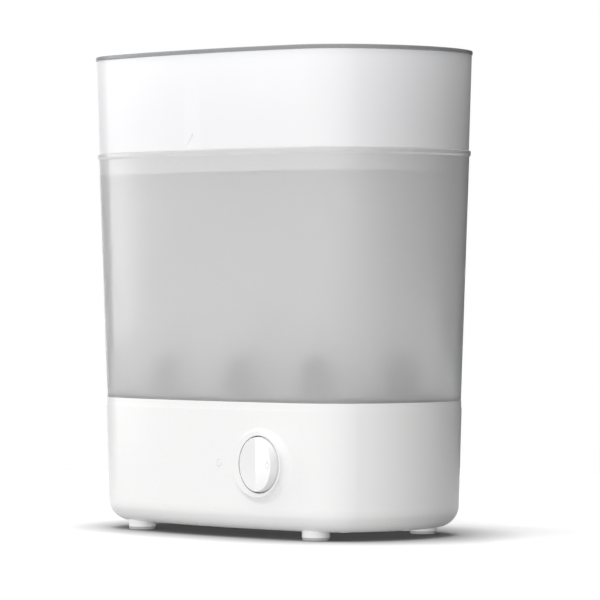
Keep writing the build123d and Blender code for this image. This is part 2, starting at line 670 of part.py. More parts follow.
def base_deck():
    rim_inner = DECK_RIM_INSET + DECK_RIM_WALL
    rim = straight_block(HOUSING_TOP, DECK_TOP, DECK_RIM_INSET)
    rim -= straight_block(LEDGE_TOP, DECK_TOP, rim_inner)
    skirt_bottom = HOUSING_TOP - DECK_SKIRT_DEPTH
    skirt_inset = housing_inset(skirt_bottom) + HOUSING_WALL + FIXED_CLEARANCE
    skirt = straight_block(skirt_bottom, HOUSING_TOP, skirt_inset)
    skirt -= straight_block(skirt_bottom, HOUSING_TOP, skirt_inset + DECK_WALL)
    basin = straight_block(BASIN_UNDERSIDE, LEDGE_TOP, LEDGE_INNER_INSET)
    hollow = straight_block(BASIN_FLOOR, LEDGE_TOP, LEDGE_INNER_INSET + DECK_WALL)
    hollow = rounded_bottom(hollow, BASIN_FLOOR_FILLET)
    deck = rim + skirt + basin - hollow
    deck -= post(0, 0, BASIN_UNDERSIDE - OVERCUT, BASIN_FLOOR + OVERCUT, BASIN_OPENING_RADIUS)

    boss_radius = BOSS_RADIUS - DECK_BOSS_STEP
    bosses = [post(x, y, BOSS_JOINT_HEIGHT, BASIN_UNDERSIDE, boss_radius) for x, y in BOSSES]
    bosses += [post(x, y, EAR_TOP, BASIN_UNDERSIDE, CLAMP_BOSS_RADIUS) for x, y in clamp_screw_places()]
    deck += bosses
    pilot_top = BOSS_JOINT_HEIGHT - BOSS_WEB + HOUSING_SCREW_LENGTH + SCREW_TIP_GAP
    pilot_radius = HOUSING_SCREW_RADIUS + RUNNING_CLEARANCE
    pilots = [post(x, y, BOSS_JOINT_HEIGHT - OVERCUT, pilot_top, pilot_radius) for x, y in BOSSES]
    pilot_bottom = EAR_TOP - OVERCUT
    pilot_radius = CLAMP_SCREW_RADIUS + RUNNING_CLEARANCE
    pilots += [post(x, y, pilot_bottom, BASIN_UNDERSIDE, pilot_radius) for x, y in clamp_screw_places()]
    return deck - pilots


# ---------------------------------------------------------------------------------------------
# Heating plate and what hangs under it
# ---------------------------------------------------------------------------------------------


def plate_seal():
    """Silicone ring with an L section: a flat under the deck and a lip round the opening."""
    inner = BASIN_OPENING_RADIUS - SEAL_LIP_WALL
    top = BASIN_FLOOR + SEAL_LIP_HEIGHT - DECK_WALL
    lip_outer = BASIN_OPENING_RADIUS - RUNNING_CLEARANCE
    return turned(
        [
            (inner, FLANGE_TOP),
            (PLATE_FLANGE_RADIUS, FLANGE_TOP),
            (PLATE_FLANGE_RADIUS, BASIN_UNDERSIDE),
            (lip_outer, BASIN_UNDERSIDE),
            (lip_outer, top),
            (inner, top),
        ]
    )


def heating_plate():
    """Pressed stainless dish with a flat flange."""
    inner_floor = DISH_UNDERSIDE + PLATE_THICKNESS
    profile = make_face(
        Polyline(
            (0, DISH_UNDERSIDE),
            (PLATE_DISH_RADIUS + PLATE_THICKNESS, DISH_UNDERSIDE),
            (PLATE_DISH_RADIUS + PLATE_THICKNESS, FLANGE_UNDERSIDE),
            (PLATE_FLANGE_RADIUS, FLANGE_UNDERSIDE),
            (PLATE_FLANGE_RADIUS, FLANGE_TOP),
            (PLATE_DISH_RADIUS, FLANGE_TOP),
            (PLATE_DISH_RADIUS, inner_floor),
            (0, inner_floor),
            close=True,
        )
    )
    corners = profile.vertices()
    low_outer = corners.sort_by_distance((PLATE_DISH_RADIUS + PLATE_THICKNESS, DISH_UNDERSIDE))[0]
    profile = fillet(low_outer, PLATE_CORNER + PLATE_THICKNESS)
    low_inner = profile.vertices().sort_by_distance((PLATE_DISH_RADIUS, inner_floor))[0]
    profile = fillet(low_inner, PLATE_CORNER)
    return revolve(Plane.XZ * profile, Axis.Z)


def element_tube(radius):
    """The C of the heating tube with both legs turned down, at a given tube radius."""
    start = 90 + ELEMENT_GAP_DEG / 2
    sweep_deg = 360 - ELEMENT_GAP_DEG
    section = Plane.XZ * Pos(ELEMENT_LOOP_RADIUS, ELEMENT_Z) * Circle(radius)
    shape = Rot(0, 0, start) * revolve(section, Axis.Z, revolution_arc=sweep_deg)
    for x, y in element_ends():
        shape += Pos(x, y, ELEMENT_Z) * Sphere(radius)
        shape += post(x, y, ELEMENT_Z - ELEMENT_LEG, ELEMENT_Z, radius)
    return shape


def element_ends():
    ends = []
    for side in (-1, 1):
        angle = math.radians(90 + side * ELEMENT_GAP_DEG / 2)
        x = ELEMENT_LOOP_RADIUS * math.cos(angle)
        y = ELEMENT_LOOP_RADIUS * math.sin(angle)
        ends.append((x, y))
    return ends


def heating_element():
    tube = element_tube(ELEMENT_TUBE_RADIUS)
    for x, y in element_ends():
        tube += post(x, y, PIN_BOTTOM, ELEMENT_Z - ELEMENT_LEG, ELEMENT_PIN_RADIUS)
    return tube


def heat_spreader():
    """Aluminium disc brazed under the dish, grooved for the tube and tapped for the strap."""
    disc = post(0, 0, SPREADER_UNDERSIDE, DISH_UNDERSIDE, SPREADER_RADIUS)
    section = Plane.XZ * Pos(ELEMENT_LOOP_RADIUS, ELEMENT_Z) * Circle(ELEMENT_TUBE_RADIUS)
    disc -= revolve(section, Axis.Z)
    hole_bottom = SPREADER_UNDERSIDE - OVERCUT
    hole_top = SPREADER_UNDERSIDE + STRAP_SCREW_LENGTH - STRAP_SHEET + SCREW_TIP_GAP
    hole_radius = STRAP_SCREW_RADIUS + RUNNING_CLEARANCE
    for side in (-1, 1):
        disc -= post(side * STRAP_SCREW_X, 0, hole_bottom, hole_top, hole_radius)
    return disc


def plate_clamp_ring():
    """Stepped steel ring that presses the dish's flange up against the seal."""
    outer = PLATE_FLANGE_RADIUS + CLAMP_RIM_GAP + CLAMP_SHEET
    foot = EAR_TOP - CLAMP_SHEET
    ring = turned(
        [
            (CLAMP_INNER_RADIUS, FLANGE_UNDERSIDE - CLAMP_SHEET),
            (outer - CLAMP_SHEET, FLANGE_UNDERSIDE - CLAMP_SHEET),
            (outer - CLAMP_SHEET, foot),
            (outer, foot),
            (outer, FLANGE_UNDERSIDE),
            (CLAMP_INNER_RADIUS, FLANGE_UNDERSIDE),
        ]
    )
    inside = post(0, 0, foot - OVERCUT, EAR_TOP + OVERCUT, outer - CLAMP_SHEET)
    for x, y in clamp_screw_places():
        ring += post(x, y, foot, EAR_TOP, CLAMP_EAR_RADIUS) - inside
    for x, y in clamp_screw_places():
        ring -= post(x, y, foot - OVERCUT, EAR_TOP + OVERCUT, CLAMP_SCREW_RADIUS + SCREW_CLEARANCE)
    return ring


def clamp_screws():
    head_top = EAR_TOP - CLAMP_SHEET
    length = BASIN_UNDERSIDE - head_top - SCREW_TIP_GAP
    one = screw(head_top, CLAMP_SCREW_HEAD_RADIUS, CLAMP_SCREW_HEAD_HEIGHT, CLAMP_SCREW_RADIUS, length)
    return group(Pos(x, y, 0) * one for x, y in clamp_screw_places())


CAP_BOTTOM = SPREADER_UNDERSIDE - THERMOSTAT_CAP_HEIGHT


def thermostat():
    """Bimetal disc thermostat with two blade terminals."""
    body_bottom = CAP_BOTTOM - THERMOSTAT_BODY_HEIGHT
    shape = post(0, 0, CAP_BOTTOM, SPREADER_UNDERSIDE, THERMOSTAT_CAP_RADIUS)
    shape += post(0, 0, body_bottom, CAP_BOTTOM, THERMOSTAT_BODY_RADIUS)
    for side in (-1, 1):
        blade_x = (side * BLADE_X - BLADE_THICKNESS / 2, side * BLADE_X + BLADE_THICKNESS / 2)
        blade_y = (-BLADE_WIDTH / 2, BLADE_WIDTH / 2)
        shape += block(blade_x, blade_y, (body_bottom - BLADE_LENGTH, body_bottom))
    return shape


def thermostat_strap():
    """Steel strap that holds the thermostat's cap against the spreader."""
    width = (-STRAP_HALF_WIDTH, STRAP_HALF_WIDTH)
    saddle_bottom = CAP_BOTTOM - STRAP_SHEET
    strap = block((-STRAP_WEB_X, STRAP_WEB_X), width, (saddle_bottom, CAP_BOTTOM))
    hole_radius = THERMOSTAT_BODY_RADIUS + STRAP_COLLAR_GAP
    strap -= post(0, 0, saddle_bottom - OVERCUT, CAP_BOTTOM + OVERCUT, hole_radius)
    foot_bottom = SPREADER_UNDERSIDE - STRAP_SHEET
    for side in (-1, 1):
        web = sorted((side * STRAP_WEB_X, side * (STRAP_WEB_X - STRAP_SHEET)))
        foot = sorted((side * (STRAP_WEB_X - STRAP_SHEET), side * STRAP_HALF_SPAN))
        strap += block(web, width, (saddle_bottom, SPREADER_UNDERSIDE))
        strap += block(foot, width, (foot_bottom, SPREADER_UNDERSIDE))
    hole_radius = STRAP_SCREW_RADIUS + SCREW_CLEARANCE
    hole_top = SPREADER_UNDERSIDE + OVERCUT
    for side in (-1, 1):
        strap -= post(side * STRAP_SCREW_X, 0, foot_bottom - OVERCUT, hole_top, hole_radius)
    return strap


def strap_screws():
    head_top = SPREADER_UNDERSIDE - STRAP_SHEET
    one = screw(
        head_top,
        STRAP_SCREW_HEAD_RADIUS,
        STRAP_SCREW_HEAD_HEIGHT,
        STRAP_SCREW_RADIUS,
        STRAP_SCREW_LENGTH,
    )
    return group(Pos(side * STRAP_SCREW_X, 0, 0) * one for side in (-1, 1))


def fuse_rod(radius, length):
    """Cylinder along X on the fuse's own axis."""
    z = SPREADER_UNDERSIDE - FUSE_RADIUS
    return Pos(0, FUSE_Y, z) * Rot(0, 90, 0) * Cylinder(radius, length)


def thermal_fuse():
    lead_span = FUSE_LENGTH + 2 * FUSE_LEAD_LENGTH
    return fuse_rod(FUSE_RADIUS, FUSE_LENGTH) + fuse_rod(FUSE_LEAD_RADIUS, lead_span)


def fuse_clip():
    """Saddle that holds the fuse against the spreader."""
    reach = FUSE_RADIUS + FUSE_CLIP_WALL
    bottom = SPREADER_UNDERSIDE - FUSE_RADIUS - reach
    saddle = block(
        (-FUSE_CLIP_WIDTH / 2, FUSE_CLIP_WIDTH / 2),
        (FUSE_Y - reach, FUSE_Y + reach),
        (bottom, SPREADER_UNDERSIDE),
    )
    slot = block(
        (-FUSE_CLIP_WIDTH, FUSE_CLIP_WIDTH),
        (FUSE_Y - FUSE_RADIUS - RUNNING_CLEARANCE, FUSE_Y + FUSE_RADIUS + RUNNING_CLEARANCE),
        (SPREADER_UNDERSIDE - FUSE_RADIUS, SPREADER_UNDERSIDE + OVERCUT),
    )
    return saddle - slot - fuse_rod(FUSE_RADIUS + RUNNING_CLEARANCE, 2 * FUSE_CLIP_WIDTH)


# ---------------------------------------------------------------------------------------------
# Rocker key and its switch
# ---------------------------------------------------------------------------------------------

SLIDER_SWING = LEG_REACH * math.sin(ROCKER_TILT)
LEG_TIP_Y = PIVOT_Y + LEG_REACH
SWITCH_BACK_Y = WELL_BACK_Y + SWITCH_DEPTH
SWITCH_TAB_END_Y = SWITCH_BACK_Y + SWITCH_TAB_LENGTH


def rocker_face(depth):
    """Block behind the key's V face, moved back by depth, with the pivot at the origin."""
    reach = 2 * ROCKER_RADIUS
    crease_y = depth - PIVOT_DEPTH - ROCKER_CREASE_PROUD
    rise = reach * math.tan(math.radians(ROCKER_VALLEY_DEG))
    profile = make_face(
        Polyline(
            (-reach, crease_y - rise),
            (0, crease_y),
            (reach, crease_y - rise),
            (reach, ROCKER_SKIRT),
            (-reach, ROCKER_SKIRT),
            close=True,
        )
    )
    crease = profile.vertices().sort_by_distance((0, crease_y))[0]
    profile = fillet(crease, ROCKER_CREASE_RADIUS)
    return extrude(Pos(0, 0, -reach) * profile, amount=2 * reach)


def rim_edges(key):
    """Edges where the key's face meets its round flank."""
    return [edge for edge in key.edges() if edge.geom_type != GeomType.LINE and edge.center().Y < 0]


def rocker_key():
    """Hollow key cut from a ball round its pivot, with two pivot pins and a drive leg."""
    key = Sphere(ROCKER_BALL_RADIUS) & rocker_face(0)
    key = fillet(rim_edges(key), ROCKER_EDGE)
    hollow = Sphere(ROCKER_BALL_RADIUS - ROCKER_SKIN) & rocker_face(ROCKER_SKIN)
    key -= hollow
    pin_reach = ROCKER_BALL_RADIUS + PIVOT_PIN_LENGTH
    pins = post(0, 0, -pin_reach, pin_reach, PIVOT_PIN_RADIUS)
    pin_root = ROCKER_BALL_RADIUS - ROCKER_SKIN / 2
    pins -= post(0, 0, -pin_root, pin_root, PIVOT_PIN_RADIUS + OVERCUT)
    leg_root = ROCKER_SKIN / 2 - PIVOT_DEPTH - ROCKER_CREASE_PROUD
    half = LEG_THICKNESS / 2
    leg = block((-half, half), (leg_root, LEG_REACH), (-LEG_WIDTH / 2, LEG_WIDTH / 2))
    leg += post(0, LEG_REACH, -LEG_WIDTH / 2, LEG_WIDTH / 2, LEG_TIP_RADIUS)
    key = key + pins + leg
    return Pos(ROCKER_X, PIVOT_Y, ROCKER_Z) * Rot(0, 0, -ROCKER_TILT_DEG) * key


def switch_slider():
    """Slider that the leg's round tip moves. At rest the tip holds it to the right."""
    x = ROCKER_X + SLIDER_SWING
    half_slot = LEG_TIP_RADIUS + SLIDER_SLACK
    body = block(
        (x - SLIDER_LENGTH / 2, x + SLIDER_LENGTH / 2),
        (LEG_TIP_Y - SLIDER_FRONT, LEG_TIP_Y + SLIDER_BACK),
        (ROCKER_Z - SLIDER_WIDTH / 2, ROCKER_Z + SLIDER_WIDTH / 2),
    )
    slot = block(
        (x - half_slot, x + half_slot),
        (LEG_TIP_Y - SLIDER_FRONT, LEG_TIP_Y + half_slot),
        (ROCKER_Z - SLIDER_WIDTH / 2, ROCKER_Z + SLIDER_WIDTH / 2),
    )
    return body - slot


def switch_tabs():
    """Centres of the solder tabs at the back of the switch."""
    return [(ROCKER_X + side * SWITCH_TAB_SPACING / 2, ROCKER_Z - SWITCH_HEIGHT / 4) for side in (-1, 1)]


def switch_body():
    """Switch case with a track for the slider, an ear above and below, and two tabs."""
    body = block(
        (ROCKER_X - SWITCH_WIDTH / 2, ROCKER_X + SWITCH_WIDTH / 2),
        (WELL_BACK_Y, SWITCH_BACK_Y),
        (ROCKER_Z - SWITCH_HEIGHT / 2, ROCKER_Z + SWITCH_HEIGHT / 2),
    )
    body = chamfer(body.edges().filter_by(Axis.Y), SWITCH_CHAMFER)
    ear_reach = SWITCH_HEIGHT / 2 + SWITCH_EAR
    body += block(
        (ROCKER_X - SWITCH_EAR_WIDTH / 2, ROCKER_X + SWITCH_EAR_WIDTH / 2),
        (WELL_BACK_Y, WELL_BACK_Y + SWITCH_EAR_THICKNESS),
        (ROCKER_Z - ear_reach, ROCKER_Z + ear_reach),
    )
    for x, z in switch_tabs():
        body += block(
            (x - SWITCH_TAB_THICKNESS / 2, x + SWITCH_TAB_THICKNESS / 2),
            (SWITCH_BACK_Y, SWITCH_TAB_END_Y),
            (z - SWITCH_TAB_WIDTH / 2, z + SWITCH_TAB_WIDTH / 2),
        )
    track_half = SLIDER_LENGTH / 2 + SLIDER_SWING + SLIDER_END_PLAY
    track_width = SLIDER_WIDTH / 2 + RUNNING_CLEARANCE
    body -= block(
        (ROCKER_X - track_half, ROCKER_X + track_half),
        (WELL_BACK_Y - OVERCUT, LEG_TIP_Y + SLIDER_BACK + RUNNING_CLEARANCE),
        (ROCKER_Z - track_width, ROCKER_Z + track_width),
    )
    hole_radius = SWITCH_SCREW_RADIUS + SCREW_CLEARANCE
    hole_back = WELL_BACK_Y + SWITCH_EAR_THICKNESS + OVERCUT
    for z in SWITCH_SCREW_ZS:
        body -= rod(ROCKER_X, z, WELL_BACK_Y - OVERCUT, hole_back, hole_radius)
    return body


def switch_screws():
    one = screw(
        0,
        SWITCH_SCREW_HEAD_RADIUS,
        SWITCH_SCREW_HEAD_HEIGHT,
        SWITCH_SCREW_RADIUS,
        SWITCH_SCREW_LENGTH,
    )
    back = WELL_BACK_Y + SWITCH_EAR_THICKNESS
    return group(Pos(ROCKER_X, back, z) * Rot(90, 0, 0) * one for z in SWITCH_SCREW_ZS)


# ---------------------------------------------------------------------------------------------
# Indicator and control board
# ---------------------------------------------------------------------------------------------


def indicator_lens():
    """Clear window with a flange inside the wall and a light guide down to the LED."""
    flange_y = WALL_INNER_Y + INDICATOR_FLANGE_GAP
    window = rod(INDICATOR_X, INDICATOR_Z, INDICATOR_FACE_Y, flange_y, INDICATOR_RADIUS)
    window = fillet(window.edges().sort_by(Axis.Y)[0], INDICATOR_EDGE)
    flange_back = flange_y + INDICATOR_FLANGE
    flange = rod(INDICATOR_X, INDICATOR_Z, flange_y, flange_back, INDICATOR_FLANGE_RADIUS)
    guide_end = INDICATOR_FACE_Y + GUIDE_LENGTH
    guide = rod(INDICATOR_X, INDICATOR_Z, flange_y, guide_end, INDICATOR_RADIUS - GUIDE_STEP)
    return window + flange + guide


def indicator_led():
    tip = BOARD_FRONT_Y - LED_HEIGHT
    body = rod(INDICATOR_X, INDICATOR_Z, tip, BOARD_FRONT_Y, LED_RADIUS)
    body = fillet(body.edges().sort_by(Axis.Y)[0], LED_RADIUS * 0.8)
    flange_y = BOARD_FRONT_Y - LED_FLANGE
    return body + rod(INDICATOR_X, INDICATOR_Z, flange_y, BOARD_FRONT_Y, LED_RADIUS + LED_FLANGE_STEP)


def control_board():
    board = block(BOARD_X, (BOARD_FRONT_Y, BOARD_BACK_Y), BOARD_Z)
    board = fillet(board.edges().filter_by(Axis.Y), BOARD_CORNER)
    front = BOARD_FRONT_Y - OVERCUT
    back = BOARD_BACK_Y + OVERCUT
    return board - [rod(x, z, front, back, BOARD_SCREW_RADIUS + SCREW_CLEARANCE) for x, z in BOARD_SCREWS]


def board_screws():
    length = BOARD_SCREW_LENGTH + BOARD_THICKNESS - SCREW_TIP_GAP
    one = screw(0, BOARD_SCREW_HEAD_RADIUS, BOARD_SCREW_HEAD_HEIGHT, BOARD_SCREW_RADIUS, length)
    return group(Pos(x, BOARD_BACK_Y, z) * Rot(90, 0, 0) * one for x, z in BOARD_SCREWS)


def relay():
    right = BOARD_X[1] - RELAY_INSET
    bottom = BOARD_Z[0] + RELAY_INSET
    width, depth, height = RELAY_SIZE
    body = block((right - width, right), (BOARD_BACK_Y, BOARD_BACK_Y + depth), (bottom, bottom + height))
    return fillet(body.edges().filter_by(Axis.Y), RELAY_CORNER)


def capacitor():
    x = BOARD_X[0] + CAPACITOR_RADIUS + CAPACITOR_INSET
    z = (BOARD_Z[0] + BOARD_Z[1]) / 2
    return rod(x, z, BOARD_BACK_Y, BOARD_BACK_Y + CAPACITOR_LENGTH, CAPACITOR_RADIUS)


# ---------------------------------------------------------------------------------------------
# Mains side
# ---------------------------------------------------------------------------------------------


def cord_gland():
    """Rubber bush in the back wall. Its bore takes the supply cord."""
    flange_y = GLAND_PAD_Y + GLAND_FLANGE
    sleeve_y = flange_y + GLAND_SLEEVE_LENGTH
    snap_y = GLAND_WALL_INNER_Y - GLAND_FLANGE
    return turned_about_y(
        [
            (GLAND_BORE_RADIUS, snap_y),
            (GLAND_NECK_RADIUS, snap_y),
            (GLAND_NECK_RADIUS + GLAND_SNAP, GLAND_WALL_INNER_Y),
            (GLAND_NECK_RADIUS, GLAND_WALL_INNER_Y),
            (GLAND_NECK_RADIUS, GLAND_PAD_Y),
            (GLAND_FLANGE_RADIUS, GLAND_PAD_Y),
            (GLAND_FLANGE_RADIUS - GLAND_DRAFT, flange_y),
            (GLAND_NECK_RADIUS - GLAND_SLEEVE_STEP, flange_y),
            (GLAND_BORE_RADIUS + GLAND_SLEEVE_TIP_WALL, sleeve_y),
            (GLAND_BORE_RADIUS, sleeve_y),
        ],
        GLAND_X,
        GLAND_Z,
    )


TERMINAL_Y = OVERALL_DEPTH / 2 - TERMINAL_INSET_Y
TERMINAL_TOP = HOUSING_FLOOR + TERMINAL_SIZE[2]


def terminal_xs():
    first = GLAND_X - (TERMINAL_COUNT - 1) / 2 * TERMINAL_PITCH
    return [first + index * TERMINAL_PITCH for index in range(TERMINAL_COUNT)]


def terminal_block():
    """Three-way screw terminal that stands on the housing's floor."""
    width, depth, height = TERMINAL_SIZE
    body = block(
        (GLAND_X - width / 2, GLAND_X + width / 2),
        (TERMINAL_Y - depth / 2, TERMINAL_Y + depth / 2),
        (HOUSING_FLOOR, HOUSING_FLOOR + height),
    )
    well_bottom = TERMINAL_TOP - TERMINAL_WELL_DEPTH
    well_top = TERMINAL_TOP + OVERCUT
    well_radius = TERMINAL_SCREW_RADIUS + TERMINAL_WELL_CLEARANCE
    return body - [post(x, TERMINAL_Y, well_bottom, well_top, well_radius) for x in terminal_xs()]


def terminal_screws():
    bottom = TERMINAL_TOP - TERMINAL_WELL_DEPTH
    top = bottom + TERMINAL_SCREW_HEIGHT
    head = post(0, 0, bottom, top, TERMINAL_SCREW_RADIUS)
    head -= block(
        (-TERMINAL_SCREW_RADIUS, TERMINAL_SCREW_RADIUS),
        (-TERMINAL_SLOT_WIDTH / 2, TERMINAL_SLOT_WIDTH / 2),
        (top - TERMINAL_SLOT_DEPTH, top + OVERCUT),
    )
    return group(Pos(x, TERMINAL_Y, 0) * head for x in terminal_xs())


def lead(points):
    """Insulated wire along straight runs joined by round bends."""
    path = FilletPolyline(*points, radius=LEAD_BEND)
    start = Plane(path @ 0, z_dir=path % 0)
    return sweep(start * Circle(LEAD_RADIUS), path=path)


def heater_leads():
    """One wire from the terminal block to the element, one on from the element to the switch."""
    run_z = HOUSING_FLOOR + LEAD_FLOOR_GAP
    (right_x, end_y), (left_x, left_y) = element_ends()
    block_face_x = GLAND_X + TERMINAL_SIZE[0] / 2 + LEAD_RADIUS
    supply = lead(
        [
            (left_x, left_y, PIN_BOTTOM),
            (left_x, left_y, run_z),
            (block_face_x, TERMINAL_Y, run_z),
        ]
    )
    tab_x, tab_z = switch_tabs()[0]
    turn_y = SWITCH_TAB_END_Y + 3 * LEAD_BEND
    switched = lead(
        [
            (right_x, end_y, PIN_BOTTOM),
            (right_x, end_y, run_z),
            (tab_x, turn_y, run_z),
            (tab_x, turn_y, tab_z),
            (tab_x, SWITCH_TAB_END_Y, tab_z),
        ]
    )
    return group([supply, switched])


# ---------------------------------------------------------------------------------------------
# Large basket and bottle rack
# ---------------------------------------------------------------------------------------------


def large_inset(z):
    """Inset of the large basket's outer wall at height z."""
    return LARGE_BASKET_BOTTOM_INSET - (z - DECK_TOP) * LARGE_BASKET_SLOPE


def large_basket():
    outer = sloped_block(DECK_TOP, LARGE_TOP, large_inset(DECK_TOP), LARGE_BASKET_SLOPE)
    bead_inset = large_inset(LARGE_TOP) - BASKET_BEAD_PROUD
    bead = straight_block(LARGE_TOP - BASKET_BEAD_HEIGHT, LARGE_TOP, bead_inset)
    bead_edges = bead.faces().sort_by(Axis.Z)[0].edges() + bead.faces().sort_by(Axis.Z)[-1].edges()
    bead = fillet(bead_edges, BASKET_BEAD_PROUD * 0.8)
    spigot_inset = DECK_RIM_INSET + DECK_RIM_WALL + STACK_CLEARANCE
    spigot = straight_block(DECK_TOP - BASKET_SPIGOT_DEPTH, DECK_TOP + BASKET_LEDGE_THICKNESS, spigot_inset)
    shell = outer + bead + spigot
    ledge_top = DECK_TOP + BASKET_LEDGE_THICKNESS
    hollow_inset = large_inset(ledge_top) + LARGE_BASKET_WALL
    hollow = sloped_block(ledge_top, LARGE_TOP, hollow_inset, LARGE_BASKET_SLOPE)
    mouth = straight_block(DECK_TOP, ledge_top, BASKET_LEDGE_INSET)
    below = straight_block(DECK_TOP - BASKET_SPIGOT_DEPTH, DECK_TOP, spigot_inset + BASKET_SPIGOT_WALL)
    return shell - hollow - mouth - below


RACK_BOTTOM = DECK_TOP + BASKET_LEDGE_THICKNESS
RACK_TOP = RACK_BOTTOM + RACK_PLATE_THICKNESS
RACK_INSET = large_inset(RACK_BOTTOM) + LARGE_BASKET_WALL + RACK_WALL_GAP
POSTS = [
    (column * POST_SPACING_X, side * POST_SPACING_Y / 2)
    for column in (-1, 0, 1)
    for side in (-1, 1)
]


def bottle_rack():
    """Slotted plate with six hollow posts that bottles are stood upside down on."""
    plan = outline(RACK_INSET)
    slots = []
    for column in range(-RACK_SLOT_COLUMNS, RACK_SLOT_COLUMNS + 1):
        for row in range(-RACK_SLOT_ROWS, RACK_SLOT_ROWS + 1):
            x = column * POST_SPACING_X / 2
            y = row * RACK_SLOT_PITCH
            in_post_column = column % 2 == 0
            beside_post = abs(abs(y) - POST_SPACING_Y / 2) < RACK_POST_MARGIN
            if not (in_post_column and beside_post):
                slots.append(Pos(x, y) * SlotOverall(RACK_SLOT_LENGTH, RACK_SLOT_WIDTH))
    rack = extrude(Pos(0, 0, RACK_BOTTOM) * (plan - slots), amount=RACK_PLATE_THICKNESS)
    slope_deg = math.degrees(math.atan((POST_FOOT_RADIUS - POST_TOP_RADIUS) / POST_HEIGHT))
    stud = extrude(Pos(0, 0, RACK_TOP) * Circle(POST_FOOT_RADIUS), amount=POST_HEIGHT, taper=slope_deg)
    stud = fillet(stud.edges().sort_by(Axis.Z)[-1], POST_CROWN)
    core_foot = POST_FOOT_RADIUS - POST_WALL
    core_height = POST_HEIGHT + RACK_PLATE_THICKNESS - POST_WALL
    core = extrude(Pos(0, 0, RACK_BOTTOM) * Circle(core_foot), amount=core_height, taper=slope_deg)
    core = fillet(core.edges().sort_by(Axis.Z)[-1], POST_CROWN - POST_WALL)
    rack += [Pos(x, y, 0) * stud for x, y in POSTS]
    return rack - [Pos(x, y, 0) * core for x, y in POSTS]


# ---------------------------------------------------------------------------------------------
# Small basket and item plate
# ---------------------------------------------------------------------------------------------


def small_inset(z):
    """Inset of the small basket's outer wall at height z."""
    return SMALL_BASKET_TOP_INSET + (SMALL_TOP - z) * SMALL_BASKET_SLOPE


SKIRT_BOTTOM = LARGE_TOP - SKIRT_DEPTH
SKIRT_INSET = large_inset(SKIRT_BOTTOM) + LARGE_BASKET_WALL + STACK_CLEARANCE
SMALL_FLOOR = SKIRT_BOTTOM + SMALL_FLOOR_THICKNESS
SHOULDER_TOP = LARGE_TOP + SHOULDER_THICKNESS
SKIRT_INNER_INSET = SKIRT_INSET + SMALL_BASKET_WALL
SHOULDER_INNER_INSET = small_inset(SHOULDER_TOP) + SMALL_BASKET_WALL


def slot_rows(length, width, pitch_x, pitch_y, inset):
    """Staggered slots along X that keep inside the outline at an inset."""
    slots = []
    half_depth = OVERALL_DEPTH / 2 - inset
    rows = int(half_depth // pitch_y)
    for row in range(-rows, rows + 1):
        y = row * pitch_y
        stagger = pitch_x / 2 if row % 2 else 0.0
        rounding = (OVERALL_WIDTH - OVERALL_DEPTH) / 2 * (abs(y) / half_depth) ** 3
        reach = OVERALL_WIDTH / 2 - inset - rounding
        columns = int(reach // pitch_x) + 1
        for column in range(-columns, columns + 1):
            x = column * pitch_x + stagger
            if abs(x) + length / 2 <= reach:
                slots.append(Pos(x, y) * SlotOverall(length, width))
    return slots


def small_basket():
    outer = sloped_block(LARGE_TOP, SMALL_TOP, small_inset(LARGE_TOP), SMALL_BASKET_SLOPE)
    skirt = straight_block(SKIRT_BOTTOM, LARGE_TOP, SKIRT_INSET)
    upper_hollow = sloped_block(SHOULDER_TOP, SMALL_TOP, SHOULDER_INNER_INSET, SMALL_BASKET_SLOPE)
    lower_hollow = straight_block(SMALL_FLOOR, SHOULDER_TOP, SKIRT_INNER_INSET)
    lower_hollow = rounded_bottom(lower_hollow, LOWER_HOLLOW_FILLET)
    shell = outer + skirt - upper_hollow - lower_hollow
    slots = slot_rows(
        FLOOR_SLOT_LENGTH,
        FLOOR_SLOT_WIDTH,
        FLOOR_SLOT_LENGTH + FLOOR_SLOT_BRIDGE,
        FLOOR_SLOT_PITCH,
        SKIRT_INNER_INSET + FLOOR_SLOT_MARGIN,
    )
    below_floor = Pos(0, 0, SKIRT_BOTTOM - OVERCUT)
    cutters = [extrude(below_floor * slot, amount=SMALL_FLOOR_THICKNESS + 2 * OVERCUT) for slot in slots]

    base_z = LARGE_TOP + ARROW_ABOVE_SHOULDER
    face_y = -(OVERALL_DEPTH / 2 - small_inset(base_z))
    arrow = Polyline(
        (-ARROW_WIDTH / 2, base_z),
        (ARROW_WIDTH / 2, base_z),
        (0, base_z + ARROW_HEIGHT),
        close=True,
    )
    tool = extrude(Plane.XZ * make_face(arrow), amount=OVERALL_DEPTH)
    skin = straight_block(base_z, base_z + ARROW_HEIGHT, OVERALL_DEPTH / 2 + face_y + ARROW_DEPTH)
    return shell - cutters - (tool - skin)


def item_plate():
    """Perforated plate that lies on the small basket's inner step."""
    plan = outline(SHOULDER_INNER_INSET + STACK_CLEARANCE)
    half_width = OVERALL_WIDTH / 2 - ITEM_PLATE_MARGIN
    half_depth = OVERALL_DEPTH / 2 - ITEM_PLATE_MARGIN
    columns = int(half_width // ITEM_HOLE_PITCH)
    rows = int(half_depth // ITEM_HOLE_PITCH)
    beside_x = FINGER_HOLE_LENGTH / 2 + FINGER_HOLE_MARGIN
    beside_y = FINGER_HOLE_WIDTH / 2 + FINGER_HOLE_MARGIN
    holes = []
    for column in range(-columns, columns + 1):
        for row in range(-rows, rows + 1):
            x = column * ITEM_HOLE_PITCH
            y = row * ITEM_HOLE_PITCH
            corner_reach = (abs(x) / half_width) ** 4 + (abs(y) / half_depth) ** 4
            beside_finger_hole = abs(x) < beside_x and abs(y) < beside_y
            if corner_reach < 1.0 and not beside_finger_hole:
                holes.append(Pos(x, y) * Circle(ITEM_HOLE_RADIUS))
    holes.append(SlotOverall(FINGER_HOLE_LENGTH, FINGER_HOLE_WIDTH))
    return extrude(Pos(0, 0, SHOULDER_TOP) * (plan - holes), amount=ITEM_PLATE_THICKNESS)


